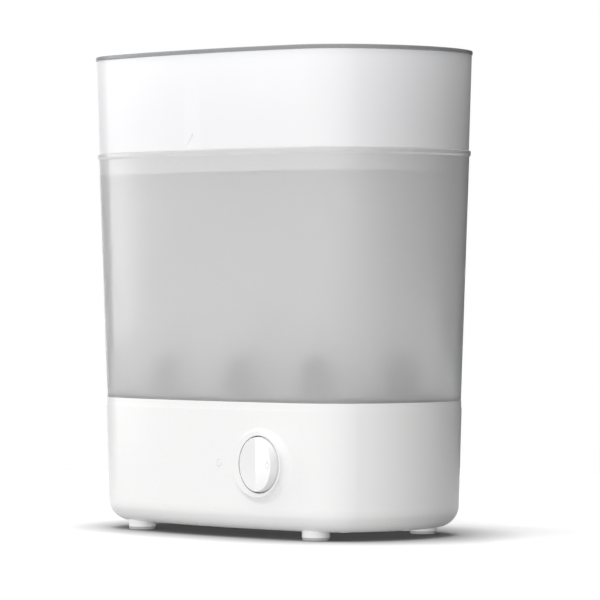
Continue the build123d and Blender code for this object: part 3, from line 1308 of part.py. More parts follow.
# ---------------------------------------------------------------------------------------------
# Lid
# ---------------------------------------------------------------------------------------------


def lid():
    """Rim that lies on the small basket, a dished panel, and a hollow grip across the dish."""
    rim = straight_block(SMALL_TOP, OVERALL_HEIGHT, 0)
    rim_edges = rim.faces().sort_by(Axis.Z)[0].edges() + rim.faces().sort_by(Axis.Z)[-1].edges()
    rim = fillet(rim_edges, LID_RIM_THICKNESS * 0.3)
    panel_bottom = OVERALL_HEIGHT - LID_DISH_DEPTH
    top_inset = small_inset(SMALL_TOP) + SMALL_BASKET_WALL + STACK_CLEARANCE
    bottom_inset = top_inset + (OVERALL_HEIGHT - panel_bottom) * LID_DISH_SLOPE
    dish = sloped_block(panel_bottom, OVERALL_HEIGHT, bottom_inset, LID_DISH_SLOPE)
    dish = rounded_bottom(dish, LID_DISH_FILLET)
    hollow = sloped_block(panel_bottom + LID_WALL, OVERALL_HEIGHT, bottom_inset + LID_WALL, LID_DISH_SLOPE)
    hollow = rounded_bottom(hollow, LID_DISH_FILLET - LID_WALL)

    grip = block(
        (-GRIP_LENGTH / 2, GRIP_LENGTH / 2),
        (-GRIP_WIDTH / 2, GRIP_WIDTH / 2),
        (panel_bottom, OVERALL_HEIGHT),
    )
    grip = fillet(grip.edges().filter_by(Axis.Z), GRIP_CORNER)
    grip = fillet(grip.faces().sort_by(Axis.Z)[-1].edges(), GRIP_TOP_FILLET)
    core = block(
        (-GRIP_LENGTH / 2 + LID_WALL, GRIP_LENGTH / 2 - LID_WALL),
        (-GRIP_WIDTH / 2 + LID_WALL, GRIP_WIDTH / 2 - LID_WALL),
        (panel_bottom - OVERCUT, OVERALL_HEIGHT - LID_WALL),
    )
    core = fillet(core.edges().filter_by(Axis.Z), GRIP_CORNER - LID_WALL)
    vent = SlotOverall(LID_VENT_LENGTH, LID_VENT_WIDTH, rotation=90)
    vents = []
    for side in (-1, 1):
        for index in range(LID_VENT_COUNT):
            x = side * (GRIP_LENGTH / 2 + LID_VENT_GRIP_GAP + index * LID_VENT_PITCH)
            slot = Pos(x, 0, panel_bottom - OVERCUT) * vent
            vents.append(extrude(slot, amount=LID_WALL + 2 * OVERCUT))
    return (rim + dish - hollow) + grip - core - vents


# ---------------------------------------------------------------------------------------------
# Write one file for each node
# ---------------------------------------------------------------------------------------------

PARTS = {
    "base_housing": base_housing,
    "foot_pads": foot_pads,
    "housing_screws": housing_screws,
    "base_deck": base_deck,
    "plate_seal": plate_seal,
    "heating_plate": heating_plate,
    "heat_spreader": heat_spreader,
    "heating_element": heating_element,
    "plate_clamp_ring": plate_clamp_ring,
    "clamp_screws": clamp_screws,
    "thermostat": thermostat,
    "thermostat_strap": thermostat_strap,
    "strap_screws": strap_screws,
    "thermal_fuse": thermal_fuse,
    "fuse_clip": fuse_clip,
    "rocker_key": rocker_key,
    "switch_slider": switch_slider,
    "switch_body": switch_body,
    "switch_screws": switch_screws,
    "indicator_lens": indicator_lens,
    "indicator_led": indicator_led,
    "control_board": control_board,
    "board_screws": board_screws,
    "relay": relay,
    "capacitor": capacitor,
    "cord_gland": cord_gland,
    "terminal_block": terminal_block,
    "terminal_screws": terminal_screws,
    "heater_leads": heater_leads,
    "large_basket": large_basket,
    "bottle_rack": bottle_rack,
    "small_basket": small_basket,
    "item_plate": item_plate,
    "lid": lid,
}

os.makedirs("parts", exist_ok=True)
for name, make in PARTS.items():
    save(name, make())
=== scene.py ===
import json
import math

import bpy
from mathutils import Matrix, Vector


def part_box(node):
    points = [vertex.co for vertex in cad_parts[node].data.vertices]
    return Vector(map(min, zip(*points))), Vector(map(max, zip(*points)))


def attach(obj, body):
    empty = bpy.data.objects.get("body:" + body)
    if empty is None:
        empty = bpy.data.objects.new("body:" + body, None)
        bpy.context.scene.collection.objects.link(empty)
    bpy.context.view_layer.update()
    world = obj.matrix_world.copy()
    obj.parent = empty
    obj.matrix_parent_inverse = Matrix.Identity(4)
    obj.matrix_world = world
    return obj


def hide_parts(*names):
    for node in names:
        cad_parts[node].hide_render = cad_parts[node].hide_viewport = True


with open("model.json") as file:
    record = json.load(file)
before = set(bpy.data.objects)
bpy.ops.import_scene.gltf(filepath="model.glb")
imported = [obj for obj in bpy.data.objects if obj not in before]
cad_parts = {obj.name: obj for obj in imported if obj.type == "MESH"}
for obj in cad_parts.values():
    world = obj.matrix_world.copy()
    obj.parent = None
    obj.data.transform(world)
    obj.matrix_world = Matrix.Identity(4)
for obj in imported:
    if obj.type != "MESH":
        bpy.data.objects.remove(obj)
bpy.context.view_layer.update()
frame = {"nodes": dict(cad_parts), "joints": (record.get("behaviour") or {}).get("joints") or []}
nodes = frame["nodes"]

# ----------------------------------------------------------------------------------------------
# Camera
# A long lens stands about three metres off, level with the middle of the tub, and looks at the
# corner between the front and the right end.
# ----------------------------------------------------------------------------------------------

CAMERA_TURN = math.radians(45.77)
CAMERA_DISTANCE = 2.939
CAMERA_HEIGHT = 0.1845
lens = bpy.data.cameras.new("studio_lens")
lens.lens = 239.9
lens.sensor_width = 36.0
lens.shift_x = 0.0308
lens.shift_y = -0.0335
camera = bpy.data.objects.new("studio_camera", lens)
camera.location = (
    CAMERA_DISTANCE * math.sin(CAMERA_TURN),
    -CAMERA_DISTANCE * math.cos(CAMERA_TURN),
    CAMERA_HEIGHT,
)
camera.rotation_euler = (math.radians(90), 0, CAMERA_TURN)
bpy.context.scene.collection.objects.link(camera)
bpy.context.scene.camera = camera

# ----------------------------------------------------------------------------------------------
# Studio
# A white paper floor under a broad overhead light. The walls of the tent round it are bright in
# front and on the left, and a black flag on the right lets that end of the object fall off.
# ----------------------------------------------------------------------------------------------


def linear(hex_colour):
    """sRGB hex, such as EFEFEE, as a linear RGBA colour."""
    channels = []
    for start in (0, 2, 4):
        value = int(hex_colour[start:start + 2], 16) / 255
        channels.append(value / 12.92 if value <= 0.04045 else ((value + 0.055) / 1.055) ** 2.4)
    return (*channels, 1.0)


def add_node(tree, kind, settings=None, links=None):
    """Adds a node, sets its properties and unlinked sockets, and links sockets to it."""
    node = tree.nodes.new(kind)
    for name, value in (settings or {}).items():
        if isinstance(name, str) and hasattr(node, name):
            setattr(node, name, value)
        else:
            node.inputs[name].default_value = value
    for name, source in (links or {}).items():
        tree.links.new(source, node.inputs[name])
    return node


# reach in metres and falloff of the contact shadow painted into the floor's colour round the object
FLOOR_SIZE = 1.6
PAINTED_SHADOW_REACH = 0.06
PAINTED_SHADOW_FALL = 1.6
bpy.context.scene.view_settings.view_transform = "Standard"
bpy.ops.object.select_all(action="DESELECT")
bpy.ops.mesh.primitive_plane_add(size=FLOOR_SIZE, location=(0, 0, 0))
floor = bpy.context.object
floor.name = "paper_floor"
floor.visible_diffuse = False
paper = bpy.data.materials.new("white_paper_with_painted_shadow")
paper.use_nodes = True
sheet = paper.node_tree.nodes["Principled BSDF"]
# painted shadow: the paper's colour is darkened towards grey where the object stands close to it, as a
# soft contact shadow
near = add_node(paper.node_tree, "ShaderNodeAmbientOcclusion", {"Distance": PAINTED_SHADOW_REACH, "samples": 16})
depth = add_node(
    paper.node_tree,
    "ShaderNodeMath",
    {"operation": "POWER", 1: PAINTED_SHADOW_FALL},
    {0: near.outputs["AO"]},
)
# dark grey of the painted contact shadow, mixed into the paper's white
grey = add_node(
    paper.node_tree,
    "ShaderNodeMix",
    {"data_type": "RGBA", "A": linear("6E6E6E"), "B": linear("FCFCFC")},
)
paper.node_tree.links.new(depth.outputs[0], grey.inputs["Factor"])
paper.node_tree.links.new(grey.outputs["Result"], sheet.inputs["Base Color"])
sheet.inputs["Roughness"].default_value = 1.0
sheet.inputs["Specular IOR Level"].default_value = 0.0
floor.data.materials.append(paper)

overhead_light = bpy.data.lights.new("overhead_light", "SUN")
overhead_light.angle = math.radians(40)
overhead_light.energy = 1.6
overhead = bpy.data.objects.new("overhead_light", overhead_light)
overhead.location = (0, 0, 2)
bpy.context.scene.collection.objects.link(overhead)

tent = bpy.data.worlds.new("studio_tent")
bpy.context.scene.world = tent
tent.use_nodes = True
tree = tent.node_tree
tree.nodes.clear()
direction = add_node(tree, "ShaderNodeTexCoord")
axes = add_node(tree, "ShaderNodeSeparateXYZ", links={"Vector": direction.outputs["Generated"]})
toward_front = add_node(
    tree,
    "ShaderNodeMath",
    {"operation": "MULTIPLY", 1: -1.0},
    {0: axes.outputs["Y"]},
)
turn = add_node(
    tree,
    "ShaderNodeMath",
    {"operation": "ARCTAN2"},
    {0: axes.outputs["X"], 1: toward_front.outputs[0]},
)
around = add_node(
    tree,
    "ShaderNodeMapRange",
    {"From Min": -math.pi, "From Max": math.pi, "To Min": 0.0, "To Max": 1.0},
    {"Value": turn.outputs[0]},
)
walls = add_node(tree, "ShaderNodeValToRGB", links={"Fac": around.outputs["Result"]})
# brightness of the tent wall at each turn in degrees: 0 is the front, 90 the right end
BRIGHTNESS = {
    # dark behind, but for a panel at the left back that shines through the tub
    -180: 0.0, -150: 0.1, -136: 0.8, -122: 1.5, -108: 0.6, -80: 0.15,
    # narrow strip light at the front left, which draws the upright highlight
    -73: 0.3, -66: 6.0, -59: 0.4,
    # white wall across the front
    -40: 0.8, 0: 1.2, 40: 1.3, 60: 1.4, 80: 1.0,
    # black flag at the right
    100: 0.15, 120: 0.0, 180: 0.0,
}
BRIGHTEST = 6.0
ramp = walls.color_ramp
ramp.interpolation = "LINEAR"
for index, (degrees, level) in enumerate(BRIGHTNESS.items()):
    place = (degrees + 180) / 360
    # a stop is made just short of the end, where the ramp's own last stop stands
    stop = ramp.elements[0] if index == 0 else ramp.elements.new(min(place, 0.9999))
    stop.position = place
    stop.color = (level / BRIGHTEST, level / BRIGHTEST, level / BRIGHTEST, 1)
ray = add_node(tree, "ShaderNodeLightPath")
tent_light = add_node(
    tree,
    "ShaderNodeBackground",
    {"Strength": BRIGHTEST},
    {"Color": walls.outputs["Color"]},
)
backdrop = add_node(tree, "ShaderNodeBackground", {"Color": (1, 1, 1, 1), "Strength": 1.0})
seen = add_node(
    tree,
    "ShaderNodeMixShader",
    links={0: ray.outputs["Is Camera Ray"], 1: tent_light.outputs[0], 2: backdrop.outputs[0]},
)
add_node(tree, "ShaderNodeOutputWorld", links={"Surface": seen.outputs[0]})

# ----------------------------------------------------------------------------------------------
# Base housing
# White ABS moulding with a satin, very finely spark-eroded skin. It carries the feet, the switch
# collar and the cord gland, and screws from below hold the deck on it.
# ----------------------------------------------------------------------------------------------

MM = 0.001
# one slow change of tone takes about 70 mm
MELT_FLOW = 14.0


def moulded(name, colour, tint, roughness, grain=0.35, relief=0.006, **sockets):
    """Moulded plastic or rubber. grain is the size of its skin texture in millimetres."""
    material = bpy.data.materials.new(name)
    material.use_nodes = True
    tree = material.node_tree
    shader = tree.nodes["Principled BSDF"]
    place = add_node(tree, "ShaderNodeTexCoord").outputs["Object"]
    # slow change of tone, as the melt cooled
    flow = add_node(tree, "ShaderNodeTexNoise", {"Scale": MELT_FLOW, "Detail": 3.0}, {"Vector": place})
    tone = add_node(
        tree,
        "ShaderNodeMix",
        {"data_type": "RGBA", "A": linear(colour), "B": linear(tint)},
    )
    tree.links.new(flow.outputs["Fac"], tone.inputs["Factor"])
    tree.links.new(tone.outputs["Result"], shader.inputs["Base Color"])
    # fine skin left by the spark-eroded mould
    skin = add_node(
        tree,
        "ShaderNodeTexNoise",
        {"Scale": 1 / (grain * MM), "Detail": 2.0},
        {"Vector": place},
    )
    gloss = add_node(
        tree,
        "ShaderNodeMapRange",
        {"From Min": 0.3, "From Max": 0.7, "To Min": roughness - 0.05, "To Max": roughness + 0.05},
        {"Value": skin.outputs["Fac"]},
    )
    tree.links.new(gloss.outputs["Result"], shader.inputs["Roughness"])
    bump = add_node(
        tree,
        "ShaderNodeBump",
        {"Strength": 0.6, "Distance": relief * MM},
        {"Height": skin.outputs["Fac"]},
    )
    tree.links.new(bump.outputs["Normal"], shader.inputs["Normal"])
    for socket, value in sockets.items():
        shader.inputs[socket.replace("_", " ")].default_value = value
    return material


def finish(material, *names):
    """Gives CAD nodes a material."""
    for name in names:
        nodes[name].material_slots[0].material = material


# ABS is opaque and a little glossy, and the fine skin spreads its highlights
white_abs = moulded("satin_white_abs", "F0F0EF", "EDEDED", 0.3, IOR=1.5)
finish(white_abs, "base_housing")

# ----------------------------------------------------------------------------------------------
# Foot pads
# Four grey thermoplastic rubber discs, moulded with a plug behind and pushed into the stubs of the
# housing. They keep the hot base off the worktop and stop it sliding.
# ----------------------------------------------------------------------------------------------

# rubber is matt and has a dull, wide highlight
pad_rubber = moulded(
    "grey_tpe_rubber", "B9B9BA", "ABABAD", 0.62, grain=0.6, relief=0.03,
    Specular_IOR_Level=0.35,
)
finish(pad_rubber, "foot_pads")

# ----------------------------------------------------------------------------------------------
# Mains side: terminal block, its screws, leads and cord gland
# A three-way nylon block stands on the housing floor. Brass screws clamp the leads, which wear
# silicone sleeving, and a rubber bush in the back wall takes the supply cord.
# ----------------------------------------------------------------------------------------------

# nylon is waxy and slightly yellow
ivory_nylon = moulded("ivory_nylon", "E4DECF", "D8D1BE", 0.42, grain=0.8, relief=0.01)
finish(ivory_nylon, "terminal_block", "fuse_clip")
sleeving = moulded("grey_silicone_sleeving", "A7A9AC", "8F9194", 0.5, grain=0.5, relief=0.02)
finish(sleeving, "heater_leads")
bush_rubber = moulded(
    "pale_rubber_bush", "D0D1D2", "C2C3C5", 0.6, grain=0.6, relief=0.03,
    Specular_IOR_Level=0.35,
)
finish(bush_rubber, "cord_gland")


def drawn_metal(name, colour, tint, roughness, grain=0.25, stretch=(1, 1, 12), relief=0.004):
    """Bare metal. Its lines are grain millimetres wide along the axes that stretch is large on,
    and twelve times as long along the others.
    """
    material = bpy.data.materials.new(name)
    material.use_nodes = True
    tree = material.node_tree
    shader = tree.nodes["Principled BSDF"]
    shader.inputs["Metallic"].default_value = 1.0
    place = add_node(tree, "ShaderNodeTexCoord").outputs["Object"]
    drawn = add_node(tree, "ShaderNodeMapping", {"Scale": stretch}, {"Vector": place})
    lines = add_node(
        tree,
        "ShaderNodeTexNoise",
        {"Scale": 1 / (12 * grain * MM), "Detail": 4.0},
        {"Vector": drawn.outputs[0]},
    )
    tone = add_node(
        tree,
        "ShaderNodeMix",
        {"data_type": "RGBA", "A": linear(colour), "B": linear(tint)},
    )
    tree.links.new(lines.outputs["Fac"], tone.inputs["Factor"])
    tree.links.new(tone.outputs["Result"], shader.inputs["Base Color"])
    gloss = add_node(
        tree,
        "ShaderNodeMapRange",
        {"From Min": 0.3, "From Max": 0.7, "To Min": roughness - 0.08, "To Max": roughness + 0.08},
        {"Value": lines.outputs["Fac"]},
    )
    tree.links.new(gloss.outputs["Result"], shader.inputs["Roughness"])
    bump = add_node(
        tree,
        "ShaderNodeBump",
        {"Strength": 0.5, "Distance": relief * MM},
        {"Height": lines.outputs["Fac"]},
    )
    tree.links.new(bump.outputs["Normal"], shader.inputs["Normal"])
    return material


finish(drawn_metal("brass_screw", "C9A65A", "A98742", 0.32), "terminal_screws")
# zinc plating is bright but slightly clouded
zinc = drawn_metal("zinc_plated_steel", "C4C7CB", "A3A7AD", 0.34)
finish(zinc, "housing_screws", "board_screws", "switch_screws", "strap_screws", "clamp_screws")

# ----------------------------------------------------------------------------------------------
# Control board, relay, capacitor, indicator lamp and its window
# A single-sided board is screwed behind the front wall. The lamp on it shines into a short guide of
# opal acrylic, whose end shows as a small round window in the front.
# ----------------------------------------------------------------------------------------------

# drawn coarser than real tracks and weave, so that they show
TRACK_PITCH = 3.85
GLASS_WEAVE = 1.1
# copper tracks show paler through the lacquered green mask
board = bpy.data.materials.new("green_circuit_board")
board.use_nodes = True
tree = board.node_tree
shader = tree.nodes["Principled BSDF"]
shader.inputs["Coat Weight"].default_value = 0.4
place = add_node(tree, "ShaderNodeTexCoord").outputs["Object"]
tracks = add_node(
    tree,
    "ShaderNodeTexVoronoi",
    {"distance": "MANHATTAN", "feature": "DISTANCE_TO_EDGE", "Scale": 1 / (TRACK_PITCH * MM)},
    {"Vector": place},
)
edge = add_node(
    tree,
    "ShaderNodeMath",
    {"operation": "LESS_THAN", 1: 0.12},
    {0: tracks.outputs["Distance"]},
)
mask = add_node(
    tree,
    "ShaderNodeMix",
    {"data_type": "RGBA", "A": linear("2F5E3F"), "B": linear("3F7A50")},
)
tree.links.new(edge.outputs[0], mask.inputs["Factor"])
tree.links.new(mask.outputs["Result"], shader.inputs["Base Color"])
weave = add_node(
    tree,
    "ShaderNodeTexNoise",
    {"Scale": 1 / (GLASS_WEAVE * MM), "Detail": 2.0},
    {"Vector": place},
)
gloss = add_node(
    tree,
    "ShaderNodeMapRange",
    {"To Min": 0.25, "To Max": 0.5},
    {"Value": weave.outputs["Fac"]},
)
tree.links.new(gloss.outputs["Result"], shader.inputs["Roughness"])
finish(board, "control_board")
finish(moulded("relay_case", "2C3A57", "26324C", 0.35, grain=0.5), "relay")
finish(moulded("capacitor_sleeve", "33353A", "2A2C30", 0.3, grain=0.9, Coat_Weight=0.3), "capacitor")
lamp_epoxy = moulded("milky_lamp_epoxy", "F2EFE6", "EAE6DA", 0.2, grain=0.6, Transmission_Weight=0.5)
finish(lamp_epoxy, "indicator_led")
# opal acrylic is white and smooth, and lets only a little light through
opal_acrylic = moulded(
    "opal_acrylic", "FAFAFA", "F4F5F6", 0.22, grain=0.7, relief=0.002,
    Transmission_Weight=0.08, IOR=1.49,
)
finish(opal_acrylic, "indicator_lens")

# ----------------------------------------------------------------------------------------------
# Switch slider and switch body
# The slider is natural nylon and runs in a black nylon case, which two screws hold behind the
# collar. The key's leg pushes it from one end to the other.
# ----------------------------------------------------------------------------------------------

finish(moulded("natural_nylon", "E9E6DC", "E0DCCF", 0.4, grain=0.7), "switch_slider")
finish(moulded("black_nylon", "26272A", "1F2022", 0.45, grain=0.6, relief=0.012), "switch_body")

# ----------------------------------------------------------------------------------------------
# Rocker key and its standby mark
# A round hollow key of glossy white ABS with two flat halves that meet in a shallow valley. A
# ring with a bar is pad printed in pale grey near its right edge.
# ----------------------------------------------------------------------------------------------

# the key comes from a polished mould, so each half mirrors its own part of the tent
glossy_abs = moulded("glossy_white_abs", "EFEFEF", "ECECEC", 0.11, grain=0.5, relief=0.001, IOR=1.5)
finish(glossy_abs, "rocker_key")

# at rest the key is turned to the left, and each half leans in towards the crease, which stands
# KEY_FACE millimetres in front of the pivot
KEY_TILT = math.radians(8.4)
KEY_VALLEY = math.radians(3.2)
KEY_FACE = 5.8
MARK_OFFSET = 14.9
RING_RADIUS = 2.2
RING_WIDTH = 0.5
BAR_LENGTH = 2.4
MARK_PROUD = 0.06
key_low, key_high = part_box("rocker_key")
pivot = next(joint["pos_m"] for joint in frame["joints"] if joint["name"] == "rocker_press")
pivot_x, pivot_y = pivot[0] / MM, pivot[1] / MM
pivot_z = (key_low[2] + key_high[2]) / 2 / MM
mark_depth = -KEY_FACE - MARK_OFFSET * math.tan(KEY_VALLEY)
mark_place = (
    (pivot_x + MARK_OFFSET * math.cos(KEY_TILT) + mark_depth * math.sin(KEY_TILT)) * MM,
    (pivot_y - MARK_OFFSET * math.sin(KEY_TILT) + mark_depth * math.cos(KEY_TILT)) * MM,
    pivot_z * MM,
)
bpy.ops.object.select_all(action="DESELECT")
bpy.ops.mesh.primitive_cube_add(size=1, location=(0, RING_RADIUS * MM, 0))
mark_bar = bpy.context.object
mark_bar.scale = (RING_WIDTH * MM, BAR_LENGTH * MM, 2 * MARK_PROUD * MM)
bpy.ops.object.transform_apply(location=True, rotation=False, scale=True)
bpy.ops.mesh.primitive_torus_add(
    major_segments=48,
    minor_segments=8,
    major_radius=RING_RADIUS * MM,
    minor_radius=RING_WIDTH / 2 * MM,
)
standby_mark = bpy.context.object
standby_mark.name = "standby_mark"
standby_mark.scale = (1, 1, 2 * MARK_PROUD / RING_WIDTH)
bpy.ops.object.transform_apply(location=False, rotation=False, scale=True)
mark_bar.select_set(True)
bpy.ops.object.join()
standby_mark.rotation_euler = (math.radians(90), 0, -KEY_TILT - KEY_VALLEY)
standby_mark.location = mark_place
bpy.ops.object.transform_apply(location=True, rotation=True, scale=False)
# pad printing leaves a thin even film of ink
print_ink = moulded("pale_grey_pad_print", "CFCFD0", "C9C9CB", 0.35, grain=0.3, relief=0.001)
standby_mark.data.materials.append(print_ink)
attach(standby_mark, "rocker")

# ----------------------------------------------------------------------------------------------
# Heating plate and what hangs under it
# A pressed stainless dish holds the water. An aluminium disc with the sheathed element is brazed
# under it, and a zinc plated clamp ring presses its flange up against a silicone seal.
# ----------------------------------------------------------------------------------------------

seal_silicone = moulded(
    "translucent_silicone", "DDDEDE", "D2D3D4", 0.5, grain=0.7, relief=0.02,
    Transmission_Weight=0.2,
)
finish(seal_silicone, "plate_seal")
# pressing leaves the steel bright with soft clouds, and no lines
stainless = drawn_metal("pressed_stainless", "C6C7C8", "B2B3B5", 0.28, stretch=(1, 1, 1))
finish(stainless, "heating_plate")
aluminium = drawn_metal(
    "cast_aluminium", "C9CBCE", "B4B7BB", 0.42, grain=0.8, stretch=(1, 1, 1), relief=0.02,
)
finish(aluminium, "heat_spreader")
# the sheath has browned from the heat of brazing
finish(drawn_metal("heat_stained_sheath", "8E8378", "6C635C", 0.38), "heating_element")
finish(zinc, "plate_clamp_ring", "thermostat_strap")
finish(moulded("black_phenolic", "232121", "1B1A1A", 0.5, grain=0.5, relief=0.015), "thermostat")
finish(drawn_metal("fuse_case", "C0C2C5", "A9ACB0", 0.3), "thermal_fuse")

# ----------------------------------------------------------------------------------------------
# Base deck
# The upper half of the base, moulded in the same white ABS as the housing. Its basin leads down to
# the heating plate, and its rim locates the large basket.
# ----------------------------------------------------------------------------------------------

finish(white_abs, "base_deck")

# ----------------------------------------------------------------------------------------------
# Large basket
# Open tub of frosted polypropylene, moulded in one shot with a bead round its mouth, an inner
# ledge for the rack and a spigot that drops inside the deck's rim.
# ----------------------------------------------------------------------------------------------

FRONT_RADIUS = 600.0
END_RADIUS = 115.0
CORNER_RADIUS = 55.0


def outline_rays():
    """Arc centre, radius and direction of each point round the lid's rim, in millimetres."""
    half_width, half_depth = (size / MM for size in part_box("lid")[1][:2])
    front_y = FRONT_RADIUS - half_depth
    end_x = half_width - END_RADIUS
    # the corner arc touches the front arc and the end arc from inside
    to_front = FRONT_RADIUS - CORNER_RADIUS
    to_end = END_RADIUS - CORNER_RADIUS
    span = math.hypot(end_x, front_y)
    along = (to_front**2 - to_end**2 + span**2) / (2 * span)
    across = math.sqrt(to_front**2 - along**2)
    corner_x = (along * end_x + across * front_y) / span
    corner_y = front_y - (along * front_y - across * end_x) / span
    front_join = math.atan2(corner_y - front_y, corner_x)
    end_join = math.atan2(corner_y, corner_x - end_x)
    # centre, radius, first and last angle, and points along each arc of one quarter
    arcs = [
        (0.0, front_y, FRONT_RADIUS, -math.pi / 2, front_join, 18),
        (corner_x, corner_y, CORNER_RADIUS, front_join, end_join, 22),
        (end_x, 0.0, END_RADIUS, end_join, 0.0, 12),
    ]
    quarter = []
    for x, y, radius, start, stop, steps in arcs:
        for step in range(steps):
            angle = start + (stop - start) * step / steps
            quarter.append((x, y, radius, math.cos(angle), math.sin(angle)))
    quarter.append((end_x, 0.0, END_RADIUS, 1.0, 0.0))
    right = list(quarter)
    for x, y, radius, along_x, along_y in quarter[-2::-1]:
        right.append((x, -y, radius, along_x, -along_y))
    left = []
    for x, y, radius, along_x, along_y in right[-2:0:-1]:
        left.append((-x, y, radius, -along_x, along_y))
    return right + left


def swept_wall(name, section, rounding, floor=False):
    """Wall with an (inset, height) section carried round the plan outline, its edges rounded.

    With a floor, the section starts under the floor and ends on top of it, and the floor is filled.
    """
    rays = outline_rays()
    bpy.ops.object.select_all(action="DESELECT")
    # a torus has the right mesh of rings, and its points are then moved to their places
    bpy.ops.mesh.primitive_torus_add(
        major_segments=len(rays),
        minor_segments=len(section),
        major_radius=0.1,
        minor_radius=0.01,
    )
    piece = bpy.context.object
    piece.name = name
    for index, vertex in enumerate(piece.data.vertices):
        x, y, radius, along_x, along_y = rays[index // len(section)]
        inset, height = section[index % len(section)]
        vertex.co = (
            (x + along_x * (radius - inset)) * MM,
            (y + along_y * (radius - inset)) * MM,
            height * MM,
        )
    if floor:
        bpy.ops.object.mode_set(mode="EDIT")
        bpy.ops.mesh.select_mode(type="FACE")
        bpy.ops.mesh.select_all(action="DESELECT")
        bpy.ops.object.mode_set(mode="OBJECT")
        ends = (0, len(section) - 1)
        for face in piece.data.polygons:
            face.select = all(corner % len(section) in ends for corner in face.vertices)
        bpy.ops.object.mode_set(mode="EDIT")
        bpy.ops.mesh.delete(type="FACE")
        bpy.ops.mesh.select_all(action="SELECT")
        bpy.ops.mesh.fill_holes(sides=0)
        bpy.ops.object.mode_set(mode="OBJECT")
    bpy.ops.object.mode_set(mode="EDIT")
    bpy.ops.mesh.select_all(action="SELECT")
    bpy.ops.mesh.normals_make_consistent(inside=False)
    bpy.ops.object.mode_set(mode="OBJECT")
    edges = piece.modifiers.new("rounded_edges", "BEVEL")
    edges.width = rounding * MM
    edges.segments = 3
    edges.limit_method = "ANGLE"
    edges.angle_limit = math.radians(25)
    bpy.ops.object.modifier_apply(modifier=edges.name)
    bpy.ops.object.shade_smooth_by_angle(angle=math.radians(40))
    return piece


TUB_SLOPE = math.tan(math.radians(1.97))
TUB_FOOT_INSET = 8.5
TUB_WALL = 2.2
BEAD_PROUD = 0.95
BEAD_HEIGHT = 3.0
BEAD_FLANK = 1.2
SPIGOT_INSET = 10.9
SPIGOT_WALL = 2.0
SPIGOT_DEPTH = 3.0
TUB_LEDGE = 2.0
TUB_LEDGE_INSET = 17.0
MOUTH_DEPTH = 15.7
WALL_CLEARNESS = 0.68
MOUTH_CLEARNESS = 0.45
MOUTH_BLEND = 0.5
EDGE_ROUNDING = 0.4
tub_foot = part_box("large_basket")[0][2] / MM + SPIGOT_DEPTH
tub_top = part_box("large_basket")[1][2] / MM
bead_foot = tub_top - BEAD_HEIGHT - BEAD_FLANK


def tub_inset(height):
    """How far inside the lid's edge the tub's outer face stands, in millimetres."""
    return TUB_FOOT_INSET - (height - tub_foot) * TUB_SLOPE


large_tub = swept_wall(
    "large_tub",
    [
        (SPIGOT_INSET, tub_foot - SPIGOT_DEPTH),
        (SPIGOT_INSET, tub_foot),
        (TUB_FOOT_INSET, tub_foot),
        (tub_inset(bead_foot), bead_foot),
        (tub_inset(tub_top) - BEAD_PROUD, tub_top - BEAD_HEIGHT),
        (tub_inset(tub_top) - BEAD_PROUD, tub_top),
        (tub_inset(tub_top) + TUB_WALL, tub_top),
        (tub_inset(tub_foot + TUB_LEDGE) + TUB_WALL, tub_foot + TUB_LEDGE),
        (TUB_LEDGE_INSET, tub_foot + TUB_LEDGE),
        (TUB_LEDGE_INSET, tub_foot),
        (SPIGOT_INSET + SPIGOT_WALL, tub_foot),
        (SPIGOT_INSET + SPIGOT_WALL, tub_foot - SPIGOT_DEPTH),
    ],
    EDGE_ROUNDING,
)
# frosted polypropylene blurs what stands behind it, and its smooth outer skin keeps a sheen
frosted = moulded(
    "frosted_polypropylene", "FCFCFC", "F9F9F9", 0.33, grain=0.5, relief=0.006,
    Transmission_Weight=WALL_CLEARNESS, IOR=1.49, Coat_Weight=0.4, Coat_Roughness=0.14,
)
# the band that the small basket's skirt fits into is milkier than the rest of the wall
tree = frosted.node_tree
place = add_node(tree, "ShaderNodeTexCoord").outputs["Object"]
height = add_node(tree, "ShaderNodeSeparateXYZ", links={"Vector": place}).outputs["Z"]
milky = add_node(
    tree,
    "ShaderNodeMapRange",
    {
        "From Min": (tub_top - MOUTH_DEPTH - MOUTH_BLEND) * MM,
        "From Max": (tub_top - MOUTH_DEPTH + MOUTH_BLEND) * MM,
        "To Min": WALL_CLEARNESS,
        "To Max": MOUTH_CLEARNESS,
    },
    {"Value": height},
)
tree.links.new(milky.outputs["Result"], tree.nodes["Principled BSDF"].inputs["Transmission Weight"])
large_tub.data.materials.append(frosted)
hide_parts("large_basket")
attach(large_tub, "large_basket")

# ----------------------------------------------------------------------------------------------
# Bottle rack
# A slotted plate with six domed posts, moulded in one piece of grey polypropylene. It lies loose on
# the ledge inside the large basket, and bottles stand upside down over the posts.
# ----------------------------------------------------------------------------------------------

grey_pp = moulded("grey_polypropylene", "606265", "5A5C5F", 0.34, grain=0.4, IOR=1.49)
finish(grey_pp, "bottle_rack")

# ----------------------------------------------------------------------------------------------
# Small basket
# Opaque white polypropylene tray. Its skirt drops inside the large basket's mouth, its shoulder
# rests on the bead, and slots in the floor let the steam up. A triangle shows the front.
# ----------------------------------------------------------------------------------------------

# opaque polypropylene is a little waxier than ABS
white_pp = moulded("white_polypropylene", "EFEFF0", "ECECEE", 0.32, grain=0.4, IOR=1.49)
STACK_GAP = 0.35
TRAY_WALL = 2.0
TRAY_TOP_INSET = 0.6
TRAY_SLOPE = math.tan(math.radians(1.78))
SHOULDER = 2.3
SKIRT_CORNER = 3.0
# the rings of the wall's mesh stop here, and one flat face fills the rest of the floor
FLOOR_RING_INSET = 48.0
FLOOR_SLOT_LENGTH = 26.0
FLOOR_SLOT_WIDTH = 4.5
FLOOR_SLOT_PITCH = 11.0
FLOOR_SLOT_BRIDGE = 9.0
FLOOR_SLOT_MARGIN = 9.0
ARROW_WIDTH = 15.0
ARROW_HEIGHT = 10.0
ARROW_DEPTH = 0.3
ARROW_RISE = 2.0
